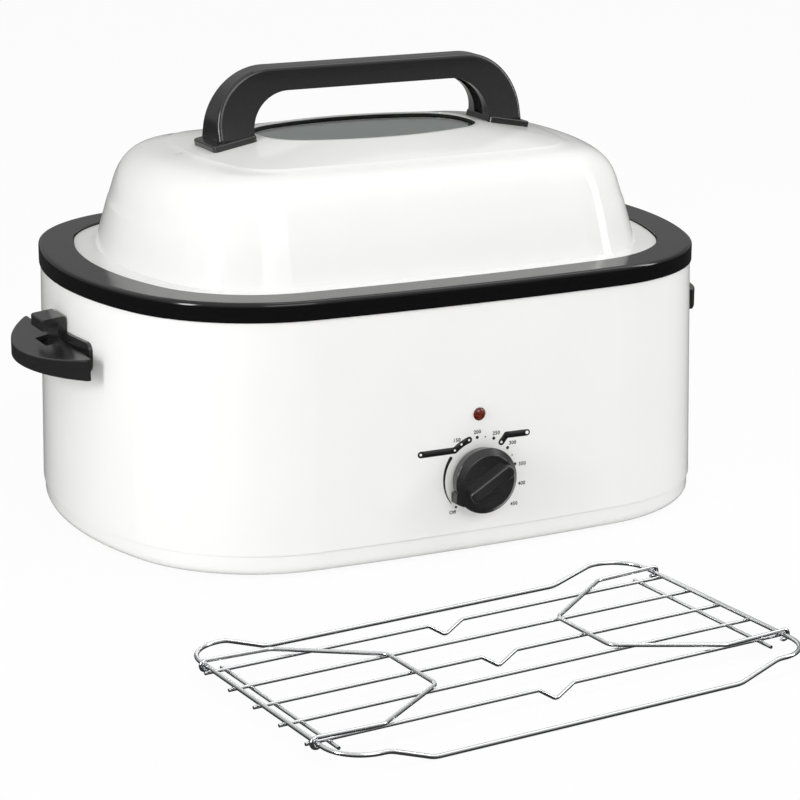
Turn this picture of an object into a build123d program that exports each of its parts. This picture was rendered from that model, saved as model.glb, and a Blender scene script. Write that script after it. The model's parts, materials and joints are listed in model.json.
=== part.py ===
from build123d import *

import os
from dataclasses import dataclass
from math import atan2, cos, hypot, sin, sqrt

# An electric roaster oven: a heated housing on a base tray, a removable pan, a high dome lid with a
# window, a thermostat knob, and a loose wire rack with two folding handles lying in front.
# Millimetres. +X runs along the long side, -Y is the front with the knob, +Z is up, and the origin
# is on the counter under the middle of the housing.

# ---- driving dimensions ----------------------------------------------------------------------

# plan outline of the pan's rim: an oval of eight tangent arcs
RIM_HALF_LENGTH = 263.0
RIM_HALF_WIDTH = 196.0
FRONT_BOW = 16.0
END_BOW = 70.0
RIM_CORNER_RADIUS = 129.0

# sheet stock
SHEET = 0.8
ENAMELLED_SHEET = 1.0

# heights above the counter
FOOT_HEIGHT = 2.0
SEAM_Z = 18.5
BODY_TOP_Z = 208.7

# housing
BODY_INSET = 1.5
BODY_FLARE = 4.0
BODY_LIP = 14.0
BASE_INSET = 1.2
BASE_EDGE_RADIUS = 7.0
BASE_TOP_RADIUS = 1.0
BASE_FLANGE = 12.0
FLOOR_SLOT_COUNT = 6
FLOOR_SLOT_LENGTH = 40.0
FLOOR_SLOT_WIDTH = 5.0
FLOOR_SLOT_PITCH = 16.0

# well and pan
WELL_INSET = 45.2
WELL_TAPER = 6.0
WIRING_SPACE = 43.4
WELL_EDGE_RADIUS = 24.0
WELL_FLANGE_INSET = 6.0
PAN_GAP = 3.0
PAN_FLOOR_GAP = 4.0
SKIRT_HEIGHT = 15.0
RIM_EDGE_RADIUS = 3.5
RIM_WIDTH = 28.0
LEDGE_DROP = 2.5

# heating
HEATER_RISE = 41.8
HEATER_HEIGHT = 56.0
HEATER_THICKNESS = 2.6
HEATER_SPLIT = 24.0
HEATER_LUG = 9.0
BLANKET_RISE = 35.8
BLANKET_TOP_GAP = 11.5
BLANKET_THICKNESS = 12.0
SEAT_GAP = 0.3
PANEL_GAP = 0.5

# lid
LID_FLANGE_GAP = 1.0
LID_WALL_INSET = 46.0
LID_WALL_LEAN = 10.3
LID_WALL_HEIGHT = 35.3
WALL_PULL = 39.7
CROWN_PULL = 0.57
SHOULDER_STEPS = 5
CROWN_RISE = 93.3
CROWN_FALL = 10.15
CROWN_LENGTH_MARGIN = 57.2
CROWN_WIDTH_MARGIN = 47.4
CROWN_FRONT_BOW = 7.3
CROWN_END_BOW = 20.0
CROWN_CORNER_RADIUS = 36.4
WINDOW_HALF_LENGTH = 94.0
WINDOW_HALF_WIDTH = 54.0
WINDOW_FRONT_BOW = 24.0
WINDOW_END_BOW = 27.0
WINDOW_CORNER_RADIUS = 38.0
WINDOW_SEAT = 4.0
GLASS_THICKNESS = 4.0
GLASS_DROP = 1.6
GASKET_LIP = 1.5
GASKET_WALL = 1.6
VENT_LENGTH = 8.0
VENT_WIDTH = 2.2
VENT_X = -157.0
VENT_Y = 7.0

# lid handle: an arch along X over the window
ARCH_WINDOW_GAP = 10.0
ARCH_RISE = 54.5
ARCH_BAR_HEIGHT = 19.0
ARCH_OUTER_RADIUS = 48.0
ARCH_INNER_RADIUS = 32.0
ARCH_LEG = 30.5
ARCH_TOP_HALF_DEPTH = 11.0
ARCH_KNEE_HALF_DEPTH = 13.3
ARCH_KNEE_DROP = 27.3
ARCH_FOOT_HALF_DEPTH = 19.5
ARCH_FOOT_RISE = 0.2
ARCH_EDGE_RADIUS = 3.5
FOOT_TOE = 5.5
FOOT_HEEL = 1.5
FOOT_SIDE = 3.5
FOOT_PLATE = 4.5
FOOT_SLOPE = 10.8
FOOT_MIDDLE_DROP = 4.3
ARCH_HOLLOW = 4.0
ARCH_HOLLOW_HALF_DEPTH = 7.5
LID_SCREW_RADIUS = 2.4
LID_SCREW_HEAD_RADIUS = 4.5
LID_SCREW_HEAD = 3.0
LID_SCREW_DEPTH = 14.0
LID_WASHER_RADIUS = 9.0

# side handles
GRIP_DROP = 68.7
GRIP_HEIGHT = 17.0
GRIP_HALF_LENGTH = 77.0
GRIP_REACH = 35.5
GRIP_STAND_OFF = 6.0
GRIP_BACK = 3.0
GRIP_TOP_FALL = 6.5
GRIP_UNDER_FALL = 0.8
GRIP_WALL = 3.2
BACK_HALF_LENGTH = 58.0
BACK_HEIGHT = 24.0
BACK_THICKNESS = 3.0
BACK_CORNER_RADIUS = 7.0
WEB_Y = 50.0
WEB_THICKNESS = 9.0
WEB_DEPTH = 14.0
HOOK_HALF_WIDTH = 14.0
HOOK_RISE = 36.7
HOOK_FALL = 2.0
HOOK_GAP = 0.5
HOOK_POST = 6.5
HOOK_REACH = 19.5
HOOK_CORNER_RADIUS = 2.0
HOOK_PLATE = 5.0
HOOK_LIP = 4.0
HOOK_LIP_DEPTH = 3.6
NOTCH_DEPTH = 10.0
HANDLE_SCREW_RADIUS = 1.9
HANDLE_SCREW_DEPTH = 15.0
HANDLE_SCREW_HEAD_RADIUS = 4.0
HANDLE_SCREW_HEAD = 2.4

# control: knob axis and indicator on the front wall
CONTROL_X = 4.0
KNOB_RISE = 42.5
LAMP_RISE = 50.0
KNOB_REST_ANGLE = 239.0
KNOB_STAND_OFF = 3.0
KNOB_RADIUS = 26.2
KNOB_BACK_RADIUS = 24.6
KNOB_SKIRT = 9.0
KNOB_FACE_RADIUS = 21.2
KNOB_FACE_HEIGHT = 13.8
KNOB_WALL = 2.5
GRIP_BAR_HALF_WIDTH = 5.5
GRIP_BAR_HEIGHT = 7.0
NIB_LENGTH = 3.8
NIB_HALF_WIDTH = 6.0
SHAFT_RADIUS = 3.0
SHAFT_CLEARANCE = 0.05
SHAFT_FLAT = 1.0
SHAFT_LENGTH = 32.0
BUSHING_RADIUS = 4.9
HOLE_CLEARANCE = 0.3
BUSHING_REACH = 2.6
NUT_RADIUS = 7.5
NUT_THICKNESS = 2.2
THERMOSTAT_RADIUS = 15.0
THERMOSTAT_DEPTH = 21.0
SENSOR_WIDTH = 14.0
SENSOR_THICKNESS = 1.0
LENS_RADIUS = 5.2
LENS_HEIGHT = 2.4
LENS_SHANK_RADIUS = 4.1
LENS_SHANK = 9.0
LENS_WALL = 1.0
BULB_RADIUS = 2.6
BULB_LENGTH = 14.0
CLIP_RADIUS = 8.0
CLIP_THICKNESS = 0.6

# small parts in the base
FOOT_X = 175.0
FOOT_Y = 110.0
FOOT_RADIUS = 9.0
FOOT_NECK_RADIUS = 3.0
FOOT_HEAD_RADIUS = 4.2
FOOT_HEAD = 1.6
STANDOFF_X = 110.0
STANDOFF_Y = 62.0
STANDOFF_RADIUS = 5.0
BASE_SCREW_RADIUS = 2.0
BASE_SCREW_HEAD_RADIUS = 4.2
BASE_SCREW_HEAD = 1.4
BASE_SCREW_DEPTH = 12.0
TERMINAL_SIZE = (44.0, 16.0, 15.0)
TERMINAL_PLACE = (-40.0, 150.0)
TERMINAL_POLES = 3
GLAND_X = -40.0
GLAND_Z = 40.0
GLAND_RADIUS = 7.5
GLAND_FLANGE_RADIUS = 11.0
GLAND_FLANGE = 3.0
GLAND_INNER = 12.0
GLAND_BORE = 3.6
FUSE_RADIUS = 3.0
FUSE_LENGTH = 22.0
FUSE_PLACE = (30.0, 20.0)

# rack, in its own frame: lies on the counter in front of the housing
RACK_PLACE = (-96.0, -419.0)
RACK_TURN = 4.9
RACK_HALF_LENGTH = 186.0
RACK_HALF_WIDTH = 113.0
RACK_RISE = 10.8
RACK_END_TAPER = 1.0
RACK_END_RUN = 33.0
RACK_SLOPE_RUN = 32.0
RACK_CORNER_RADIUS = 28.0
RACK_BEND_RADIUS = 22.0
OUTER_WIRE_RADIUS = 1.6
LONG_WIRE_RADIUS = 1.25
LONG_WIRE_PITCH = 35.0
LONG_WIRE_STUB = 4.0
DIP_HALF_WIDTH = 14.0
DIP_BEND_RADIUS = 4.0
END_ROD_INSET = 14.0
END_ROD_OVERHANG = 11.0
HANDLE_WIRE_RADIUS = 1.5
HANDLE_EYE_OFFSET = 7.0
HANDLE_EYE_WRAP = 215.0
HANDLE_CLEARANCE = 0.3
HANDLE_LEG = 49.5
HANDLE_REACH = 116.0
HANDLE_GRIP_HALF = 32.0
HANDLE_BEND_RADIUS = 10.0


# ---- heights that follow from them -----------------------------------------------------------

WELL_TOP_Z = BODY_TOP_Z + SHEET
WELL_FLOOR_Z = FOOT_HEIGHT + SHEET + WIRING_SPACE
HEATER_BOTTOM_Z = WELL_FLOOR_Z + HEATER_RISE
BLANKET_BOTTOM_Z = WELL_FLOOR_Z + BLANKET_RISE
BLANKET_TOP_Z = WELL_TOP_Z - BLANKET_TOP_GAP
LEDGE_Z = WELL_TOP_Z + ENAMELLED_SHEET
RIM_TOP_Z = LEDGE_Z + LEDGE_DROP
CROWN_Z = LEDGE_Z + CROWN_RISE
ARCH_TOP_Z = CROWN_Z + ARCH_RISE
GRIP_Z = BODY_TOP_Z - GRIP_DROP
KNOB_Z = SEAM_Z + KNOB_RISE
LAMP_Z = KNOB_Z + LAMP_RISE


# ---- plan outlines ---------------------------------------------------------------------------

@dataclass(frozen=True)
class Oval:
    """A closed outline of eight tangent arcs, symmetric about X and Y."""

    half_length: float
    half_width: float
    front_radius: float
    end_radius: float
    corner_radius: float

    def inset(self, distance):
        """The parallel outline that lies distance further in."""
        return Oval(
            self.half_length - distance,
            self.half_width - distance,
            self.front_radius - distance,
            self.end_radius - distance,
            self.corner_radius - distance,
        )

    def corner_centre(self):
        """Centre of the corner arc in the +X +Y quadrant, tangent inside the two long arcs."""
        front_y = self.half_width - self.front_radius
        end_x = self.half_length - self.end_radius
        span = hypot(end_x, front_y)
        from_front = self.front_radius - self.corner_radius
        from_end = self.end_radius - self.corner_radius
        along = (span**2 + from_front**2 - from_end**2) / (2 * span)
        across = sqrt(from_front**2 - along**2)
        ux, uy = end_x / span, -front_y / span
        return (ux * along + uy * across, front_y + uy * along - ux * across)

    def quarter(self):
        """Ends and middle of the corner arc: towards the end, halfway, towards the front."""
        cx, cy = self.corner_centre()
        front_y = self.half_width - self.front_radius
        end_x = self.half_length - self.end_radius
        to_end = atan2(cy, cx - end_x)
        to_front = atan2(cy - front_y, cx)
        angles = (to_end, (to_end + to_front) / 2, to_front)
        return [(cx + self.corner_radius * cos(a), cy + self.corner_radius * sin(a)) for a in angles]

    def face(self, z=0.0):
        """The outline as a flat face at height z."""
        (ex, ey), (mx, my), (fx, fy) = self.quarter()
        arcs = [
            ((ex, -ey), (self.half_length, 0), (ex, ey)),
            ((ex, ey), (mx, my), (fx, fy)),
            ((fx, fy), (0, self.half_width), (-fx, fy)),
            ((-fx, fy), (-mx, my), (-ex, ey)),
            ((-ex, ey), (-self.half_length, 0), (-ex, -ey)),
            ((-ex, -ey), (-mx, -my), (-fx, -fy)),
            ((-fx, -fy), (0, -self.half_width), (fx, -fy)),
            ((fx, -fy), (mx, -my), (ex, -ey)),
        ]
        edges = [ThreePointArc(start, through, end) for start, through, end in arcs]
        return Pos(0, 0, z) * Face(Wire(edges))

    def front_y(self, x):
        """Y of the front edge at x, on the front arc."""
        return self.front_radius - self.half_width - sqrt(self.front_radius**2 - x**2)

    def end_x(self, y):
        """X of the right-hand end at y, on the end arc."""
        return self.half_length - self.end_radius + sqrt(self.end_radius**2 - y**2)


def bowed_oval(half_length, half_width, front_bow, end_bow, corner_radius):
    """An oval whose long arcs rise by the given bows over the half length and half width."""
    front_radius = (half_length**2 + front_bow**2) / (2 * front_bow)
    end_radius = (half_width**2 + end_bow**2) / (2 * end_bow)
    return Oval(half_length, half_width, front_radius, end_radius, corner_radius)


RIM = bowed_oval(RIM_HALF_LENGTH, RIM_HALF_WIDTH, FRONT_BOW, END_BOW, RIM_CORNER_RADIUS)
WINDOW = bowed_oval(
    WINDOW_HALF_LENGTH, WINDOW_HALF_WIDTH, WINDOW_FRONT_BOW, WINDOW_END_BOW, WINDOW_CORNER_RADIUS
)


def slab(outline, z_low, z_high):
    """A straight block with the outline as its plan."""
    return extrude(outline.face(z_low), z_high - z_low)


def flared(low_outline, z_low, high_outline, z_high):
    """A block whose plan changes evenly from one parallel outline to another."""
    return loft([low_outline.face(z_low), high_outline.face(z_high)], ruled=True)


def ring(outline, width, z_low, z_high):
    """A flat ring that lies inside the outline."""
    return slab(outline, z_low, z_high) - slab(outline.inset(width), z_low - 1, z_high + 1)


def disc(radius, z_low, z_high, x=0.0, y=0.0):
    """A cylinder on a vertical axis."""
    return Pos(x, y, z_low) * extrude(Circle(radius), z_high - z_low)


def body_outline(z):
    """Outside of the housing's wall, which flares towards the seam."""
    share = (BODY_TOP_Z - z) / (BODY_TOP_Z - SEAM_Z)
    return RIM.inset(BODY_INSET - BODY_FLARE * share)


def well_outline(z):
    """Outside of the well's wall, which tapers in towards its floor."""
    share = (WELL_TOP_Z - z) / (WELL_TOP_Z - WELL_FLOOR_Z)
    return RIM.inset(WELL_INSET + WELL_TAPER * share)


def quadrants(x, y):
    """The four places at plus and minus x and y."""
    return [(sx * x, sy * y) for sx in (-1, 1) for sy in (-1, 1)]


# the front wall's own frames: local x is +X, local y is +Z, local z points out to the front
def panel_plane(z):
    """Plane on the outside of the front wall, at the control's x and height z."""
    return Plane(origin=(CONTROL_X, body_outline(z).front_y(CONTROL_X), z), x_dir=(1, 0, 0), z_dir=(0, -1, 0))


KNOB_PLANE = panel_plane(KNOB_Z)
LAMP_PLANE = panel_plane(LAMP_Z)


def on_panel(plane, radius, low, high):
    """A round block on a panel plane, from low to high along the way out."""
    return plane * Pos(0, 0, low) * extrude(Circle(radius), high - low)


# ---- housing ---------------------------------------------------------------------------------

def handle_screw_axes():
    """Points on the end wall where the side handles' screws pass, right-hand end."""
    z = GRIP_Z + GRIP_HEIGHT / 2
    wall = body_outline(z)
    return [(wall.end_x(y), y, z) for y in (-WEB_Y, WEB_Y)]


def along_x(radius, x_low, x_high, y, z):
    """A cylinder that lies along X."""
    return Pos(x_low, y, z) * Rot(0, 90, 0) * extrude(Circle(radius), x_high - x_low)


def make_outer_body():
    wall = flared(body_outline(SEAM_Z), SEAM_Z, body_outline(BODY_TOP_Z), BODY_TOP_Z)
    low_z, high_z = SEAM_Z + SHEET, BODY_TOP_Z - SHEET
    wall -= flared(body_outline(low_z).inset(SHEET), low_z, body_outline(high_z).inset(SHEET), high_z)
    wall -= slab(body_outline(SEAM_Z).inset(BASE_INSET + BASE_FLANGE), SEAM_Z - 1, SEAM_Z + 2)
    wall -= slab(body_outline(BODY_TOP_Z).inset(BODY_LIP), BODY_TOP_Z - 2, BODY_TOP_Z + 1)
    wall -= on_panel(KNOB_PLANE, BUSHING_RADIUS + HOLE_CLEARANCE, -5, 5)
    wall -= on_panel(LAMP_PLANE, LENS_SHANK_RADIUS + HOLE_CLEARANCE, -5, 5)
    for x, y, z in handle_screw_axes():
        for side in (-1, 1):
            wall -= along_x(HANDLE_SCREW_RADIUS + HOLE_CLEARANCE, side * x - 6, side * x + 6, y, z)
    rear_y = -body_outline(GLAND_Z).front_y(GLAND_X)
    wall -= Pos(GLAND_X, rear_y + 6, GLAND_Z) * Rot(90, 0, 0) * extrude(Circle(GLAND_RADIUS), 12)
    return wall


def make_base_pan():
    outline = body_outline(SEAM_Z).inset(BASE_INSET)
    tray = slab(outline, FOOT_HEIGHT, SEAM_Z)
    tray = fillet(tray.edges().group_by(Axis.Z)[0], BASE_EDGE_RADIUS)
    tray = fillet(tray.edges().group_by(Axis.Z)[-1], BASE_TOP_RADIUS)
    inside = slab(outline.inset(SHEET), FOOT_HEIGHT + SHEET, SEAM_Z - SHEET)
    inside = fillet(inside.edges().group_by(Axis.Z)[0], BASE_EDGE_RADIUS - SHEET)
    tray -= inside
    tray -= slab(outline.inset(BASE_FLANGE), SEAM_Z - 2, SEAM_Z + 1)
    for x, y in quadrants(FOOT_X, FOOT_Y):
        tray -= disc(FOOT_NECK_RADIUS + HOLE_CLEARANCE, 0, 6, x, y)
    for x, y in quadrants(STANDOFF_X, STANDOFF_Y):
        tray -= disc(BASE_SCREW_RADIUS + HOLE_CLEARANCE, 0, 6, x, y)
    slot = extrude(SlotOverall(FLOOR_SLOT_LENGTH, FLOOR_SLOT_WIDTH), 6)
    for index in range(FLOOR_SLOT_COUNT):
        tray -= Pos(0, (index - (FLOOR_SLOT_COUNT - 1) / 2) * FLOOR_SLOT_PITCH, 0) * slot
    return tray


def make_rubber_feet():
    floor_top = FOOT_HEIGHT + SHEET
    feet = []
    for x, y in quadrants(FOOT_X, FOOT_Y):
        foot = disc(FOOT_RADIUS, 0, FOOT_HEIGHT, x, y)
        foot += disc(FOOT_NECK_RADIUS, 0, floor_top + FOOT_HEAD, x, y)
        foot += disc(FOOT_HEAD_RADIUS, floor_top, floor_top + FOOT_HEAD, x, y)
        feet.append(foot)
    return feet


def tub(top_outline, z_top, low_outline, z_low, edge_radius):
    """A tapered block with a rounded lower edge."""
    block = flared(low_outline, z_low, top_outline, z_top)
    return fillet(block.edges().group_by(Axis.Z)[0], edge_radius)


def make_well_liner():
    outside = tub(well_outline(WELL_TOP_Z), WELL_TOP_Z, well_outline(WELL_FLOOR_Z), WELL_FLOOR_Z,
                  WELL_EDGE_RADIUS)
    flange = slab(RIM.inset(WELL_FLANGE_INSET), BODY_TOP_Z, WELL_TOP_Z)
    over = WELL_TOP_Z + 1
    inside = tub(well_outline(over).inset(SHEET), over, well_outline(WELL_FLOOR_Z).inset(SHEET),
                 WELL_FLOOR_Z + SHEET, WELL_EDGE_RADIUS - SHEET)
    return outside + flange - inside


def make_insulation_blanket():
    inner_gap = HEATER_THICKNESS + 2 * SEAT_GAP
    low, high = well_outline(BLANKET_BOTTOM_Z), well_outline(BLANKET_TOP_Z)
    outer = inner_gap + BLANKET_THICKNESS
    blanket = flared(low.inset(-outer), BLANKET_BOTTOM_Z, high.inset(-outer), BLANKET_TOP_Z)
    low_cut, high_cut = BLANKET_BOTTOM_Z - 1, BLANKET_TOP_Z + 1
    blanket -= flared(well_outline(low_cut).inset(-inner_gap), low_cut,
                      well_outline(high_cut).inset(-inner_gap), high_cut)
    return blanket


def make_heater_band():
    top_z = HEATER_BOTTOM_Z + HEATER_HEIGHT
    outer = SEAT_GAP + HEATER_THICKNESS
    band = flared(well_outline(HEATER_BOTTOM_Z).inset(-outer), HEATER_BOTTOM_Z,
                  well_outline(top_z).inset(-outer), top_z)
    low_cut, high_cut = HEATER_BOTTOM_Z - 1, top_z + 1
    band -= flared(well_outline(low_cut).inset(-SEAT_GAP), low_cut,
                   well_outline(high_cut).inset(-SEAT_GAP), high_cut)
    middle_z = (HEATER_BOTTOM_Z + top_z) / 2
    rear_y = -well_outline(middle_z).front_y(0)
    return band - Pos(0, rear_y, middle_z) * Box(HEATER_SPLIT, 30, HEATER_HEIGHT + 4)


def make_heater_clamp():
    """Two strips that lie in the band's split and pull its ends together."""
    strips = []
    for z in (HEATER_BOTTOM_Z + HEATER_LUG, HEATER_BOTTOM_Z + HEATER_HEIGHT - HEATER_LUG):
        outline = well_outline(z)
        rear_y = -outline.front_y(0) + SEAT_GAP
        strip = Pos(0, rear_y + HEATER_THICKNESS / 2, z) * Box(HEATER_SPLIT - 1, HEATER_THICKNESS - 0.6, 8)
        strips.append(strip)
    return strips


# ---- control ---------------------------------------------------------------------------------

def make_thermostat():
    front = -SHEET - PANEL_GAP
    body = on_panel(KNOB_PLANE, THERMOSTAT_RADIUS, front - THERMOSTAT_DEPTH, front)
    body += on_panel(KNOB_PLANE, BUSHING_RADIUS, -SHEET - 2, BUSHING_REACH)
    return body - on_panel(KNOB_PLANE, SHAFT_RADIUS + SHAFT_CLEARANCE, shaft_tail() - 0.5, BUSHING_REACH + 1)


def shaft_tail():
    """Inner end of the shaft on the knob's axis, inside the thermostat."""
    return KNOB_STAND_OFF + KNOB_FACE_HEIGHT - 1 - SHAFT_LENGTH


def make_thermostat_nut():
    hexagon = RegularPolygon(NUT_RADIUS, 6) - Circle(BUSHING_RADIUS)
    return KNOB_PLANE * Pos(0, 0, SEAT_GAP) * extrude(hexagon, NUT_THICKNESS)


def make_sensor_bracket():
    """A spring strip from the back of the thermostat to the wall of the well."""
    back_y = KNOB_PLANE.origin.Y + SHEET + PANEL_GAP + THERMOSTAT_DEPTH
    top_z = KNOB_Z + THERMOSTAT_RADIUS
    well_y = well_outline(top_z).front_y(CONTROL_X) - SEAT_GAP
    pad = THERMOSTAT_RADIUS
    thick = SENSOR_THICKNESS
    profile = Polyline(
        (back_y, top_z - pad), (back_y, top_z), (well_y, top_z), (well_y, top_z - pad),
        (well_y - thick, top_z - pad), (well_y - thick, top_z - thick),
        (back_y + thick, top_z - thick), (back_y + thick, top_z - pad), close=True,
    )
    side = Plane(origin=(CONTROL_X - SENSOR_WIDTH / 2, 0, 0), x_dir=(0, 1, 0), z_dir=(1, 0, 0))
    return side * extrude(make_face(profile), SENSOR_WIDTH)


def make_indicator_lens():
    dome_radius = (LENS_RADIUS**2 + LENS_HEIGHT**2) / (2 * LENS_HEIGHT)
    cap = Pos(0, 0, LENS_HEIGHT - dome_radius) * Sphere(dome_radius)
    cap &= extrude(Circle(LENS_RADIUS), LENS_HEIGHT + 1)
    shank = Pos(0, 0, -LENS_SHANK) * extrude(Circle(LENS_SHANK_RADIUS), LENS_SHANK)
    lens = Pos(0, 0, SEAT_GAP) * (cap + shank)
    bore = Pos(0, 0, -LENS_SHANK) * extrude(Circle(LENS_SHANK_RADIUS - LENS_WALL), LENS_SHANK - 1)
    return LAMP_PLANE * (lens - bore)


def make_indicator_lamp():
    bulb = extrude(Circle(BULB_RADIUS), BULB_LENGTH)
    bulb = fillet(bulb.edges().group_by(Axis.Z)[-1], BULB_RADIUS * 0.6)
    cap = Pos(0, 0, -2) * extrude(Circle(LENS_SHANK_RADIUS - LENS_WALL), 4)
    return LAMP_PLANE * Pos(0, 0, -BULB_LENGTH - 1.5) * (bulb + cap)


def make_lamp_clip():
    clip = Circle(CLIP_RADIUS) - Circle(LENS_SHANK_RADIUS)
    return LAMP_PLANE * Pos(0, 0, -SHEET - SEAT_GAP - CLIP_THICKNESS) * extrude(clip, CLIP_THICKNESS)


def make_knob():
    """Skirted knob with a scooped bar across its face and a nib that points to the dial."""
    top = KNOB_FACE_HEIGHT
    outside = Polyline(
        (0, 0), (KNOB_BACK_RADIUS, 0), (KNOB_RADIUS, KNOB_SKIRT), (KNOB_FACE_RADIUS, top), (0, top)
    )
    shell = revolve(Plane.XZ * make_face([outside, Line((0, top), (0, 0))]), Axis.Z)
    shell = fillet(shell.edges().filter_by(GeomType.CIRCLE).group_by(Axis.Z)[1:], 1.0)
    inner, deep = KNOB_FACE_RADIUS - KNOB_WALL, top - KNOB_WALL
    shell -= extrude(Circle(inner), deep)
    shell += extrude(Circle(SHAFT_RADIUS + KNOB_WALL), deep)
    bar = Box(2 * KNOB_FACE_RADIUS - 2, 2 * GRIP_BAR_HALF_WIDTH, top + GRIP_BAR_HEIGHT - KNOB_SKIRT,
              align=(Align.CENTER, Align.CENTER, Align.MIN))
    bar = fillet(bar.edges().filter_by(Axis.Z), GRIP_BAR_HALF_WIDTH - 1)
    bar = fillet(bar.edges().group_by(Axis.Z)[-1], 2.0)
    bar = Pos(0, 0, KNOB_SKIRT) * bar - extrude(Circle(inner), deep)
    tip = KNOB_RADIUS + NIB_LENGTH
    nib = make_face(Polyline((0, -NIB_HALF_WIDTH), (KNOB_RADIUS, -NIB_HALF_WIDTH), (tip, 0),
                             (KNOB_RADIUS, NIB_HALF_WIDTH), (0, NIB_HALF_WIDTH), close=True))
    nib = extrude(nib, KNOB_SKIRT) - extrude(Circle(KNOB_FACE_RADIUS), KNOB_SKIRT + 1)
    shell = shell + bar + nib
    shell -= shaft_profile(KNOB_FACE_HEIGHT - 1)
    return KNOB_PLANE * Pos(0, 0, KNOB_STAND_OFF) * Rot(0, 0, 90 - KNOB_REST_ANGLE) * shell


def shaft_profile(length):
    """The D-shaped end of the shaft, from the knob's back up to length."""
    half = Pos(0, 0, -1) * extrude(Circle(SHAFT_RADIUS), length + 1)
    return half - Pos(SHAFT_RADIUS - SHAFT_FLAT + 5, 0, length / 2) * Box(10, 20, length)


def make_knob_shaft():
    tail = shaft_tail() - KNOB_STAND_OFF
    shaft = shaft_profile(KNOB_FACE_HEIGHT - 1)
    shaft += Pos(0, 0, tail) * extrude(Circle(SHAFT_RADIUS), -tail)
    return KNOB_PLANE * Pos(0, 0, KNOB_STAND_OFF) * Rot(0, 0, 90 - KNOB_REST_ANGLE) * shaft


# ---- small parts in the base -----------------------------------------------------------------

def make_terminal_block():
    width, depth, height = TERMINAL_SIZE
    block = Box(width, depth, height, align=(Align.CENTER, Align.CENTER, Align.MIN))
    pitch = width / TERMINAL_POLES
    for index in range(TERMINAL_POLES):
        x = (index - (TERMINAL_POLES - 1) / 2) * pitch
        block -= Pos(x, 0, height - 4) * extrude(Circle(2.6), 5)
        block -= Pos(x, -depth / 2, 4) * Box(5, 10, 5, align=(Align.CENTER, Align.CENTER, Align.MIN))
    return Pos(*TERMINAL_PLACE, FOOT_HEIGHT + SHEET) * block


def make_cord_gland():
    rear_y = -body_outline(GLAND_Z).front_y(GLAND_X)
    profile = extrude(Circle(GLAND_RADIUS - HOLE_CLEARANCE), GLAND_INNER + SHEET)
    flange = Pos(0, 0, -GLAND_FLANGE) * extrude(Circle(GLAND_FLANGE_RADIUS), GLAND_FLANGE)
    flange = fillet(flange.edges().group_by(Axis.Z)[0], 1.2)
    barb = Pos(0, 0, SHEET + 2 * SEAT_GAP) * extrude(Circle(GLAND_RADIUS + 1.2), 2)
    gland = profile + flange + barb
    gland -= Pos(0, 0, -10) * extrude(Circle(GLAND_BORE), 30)
    place = Plane(origin=(GLAND_X, rear_y + SEAT_GAP, GLAND_Z), x_dir=(1, 0, 0), z_dir=(0, -1, 0))
    return place * gland


def make_thermal_fuse():
    x, y = FUSE_PLACE
    z = WELL_FLOOR_Z - FUSE_RADIUS - SEAT_GAP
    fuse = along_x(FUSE_RADIUS, x - FUSE_LENGTH / 2, x + FUSE_LENGTH / 2, y, z)
    return fillet(fuse.edges().filter_by(GeomType.CIRCLE), 1.0)


def make_base_standoffs():
    low, high = FOOT_HEIGHT + SHEET, WELL_FLOOR_Z
    posts = []
    for x, y in quadrants(STANDOFF_X, STANDOFF_Y):
        post = disc(STANDOFF_RADIUS, low, high, x, y)
        posts.append(post - disc(BASE_SCREW_RADIUS, low - 1, low + BASE_SCREW_DEPTH + 1, x, y))
    return posts


def make_base_screws():
    top = FOOT_HEIGHT + SHEET + BASE_SCREW_DEPTH
    screws = []
    for x, y in quadrants(STANDOFF_X, STANDOFF_Y):
        screw = disc(BASE_SCREW_RADIUS, FOOT_HEIGHT - BASE_SCREW_HEAD, top, x, y)
        screw += disc(BASE_SCREW_HEAD_RADIUS, FOOT_HEIGHT - BASE_SCREW_HEAD, FOOT_HEIGHT, x, y)
        screws.append(screw)
    return screws


# ---- side handles ----------------------------------------------------------------------------

END_X = body_outline(GRIP_Z + GRIP_HEIGHT / 2).half_length
GRIP_X = END_X + GRIP_STAND_OFF


def wall_block(gap):
    """The housing's outer shape over the handle's height, larger all round by gap."""
    z_low, z_high = GRIP_Z - 20, GRIP_Z + 50
    low, high = body_outline(z_low), body_outline(z_high)
    return flared(low.inset(-gap), z_low, high.inset(-gap), z_high)


def back_plate():
    """A curved plate that lies on the housing's end wall."""
    shape = RectangleRounded(2 * BACK_HALF_LENGTH, BACK_HEIGHT, BACK_CORNER_RADIUS)
    frame = Plane(origin=(0, 0, GRIP_Z + BACK_HEIGHT / 2), x_dir=(0, 1, 0), z_dir=(1, 0, 0))
    return wall_block(BACK_THICKNESS) & (frame * extrude(shape, RIM_HALF_LENGTH + 50))


def hook():
    """Upright post with an outward plate and a turned-down lip, which holds the parked lid."""
    post_x, tip_x = END_X + HOOK_GAP, END_X + HOOK_REACH
    top_z, tip_z = GRIP_Z + HOOK_RISE, GRIP_Z + HOOK_RISE - HOOK_FALL
    profile = make_face(Polyline(
        (post_x, GRIP_Z + 2), (post_x, top_z), (tip_x, tip_z), (tip_x, tip_z - HOOK_PLATE - HOOK_LIP),
        (tip_x - HOOK_LIP_DEPTH, tip_z - HOOK_PLATE - HOOK_LIP), (tip_x - HOOK_LIP_DEPTH, tip_z - HOOK_PLATE),
        (post_x + HOOK_POST, top_z - HOOK_PLATE), (post_x + HOOK_POST, GRIP_Z + 2), close=True,
    ))
    profile = fillet(profile.vertices().sort_by(Axis.Y)[-2:], HOOK_CORNER_RADIUS)
    side = Plane(origin=(0, HOOK_HALF_WIDTH, 0), x_dir=(1, 0, 0), z_dir=(0, -1, 0))
    return side * extrude(profile, 2 * HOOK_HALF_WIDTH)


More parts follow.
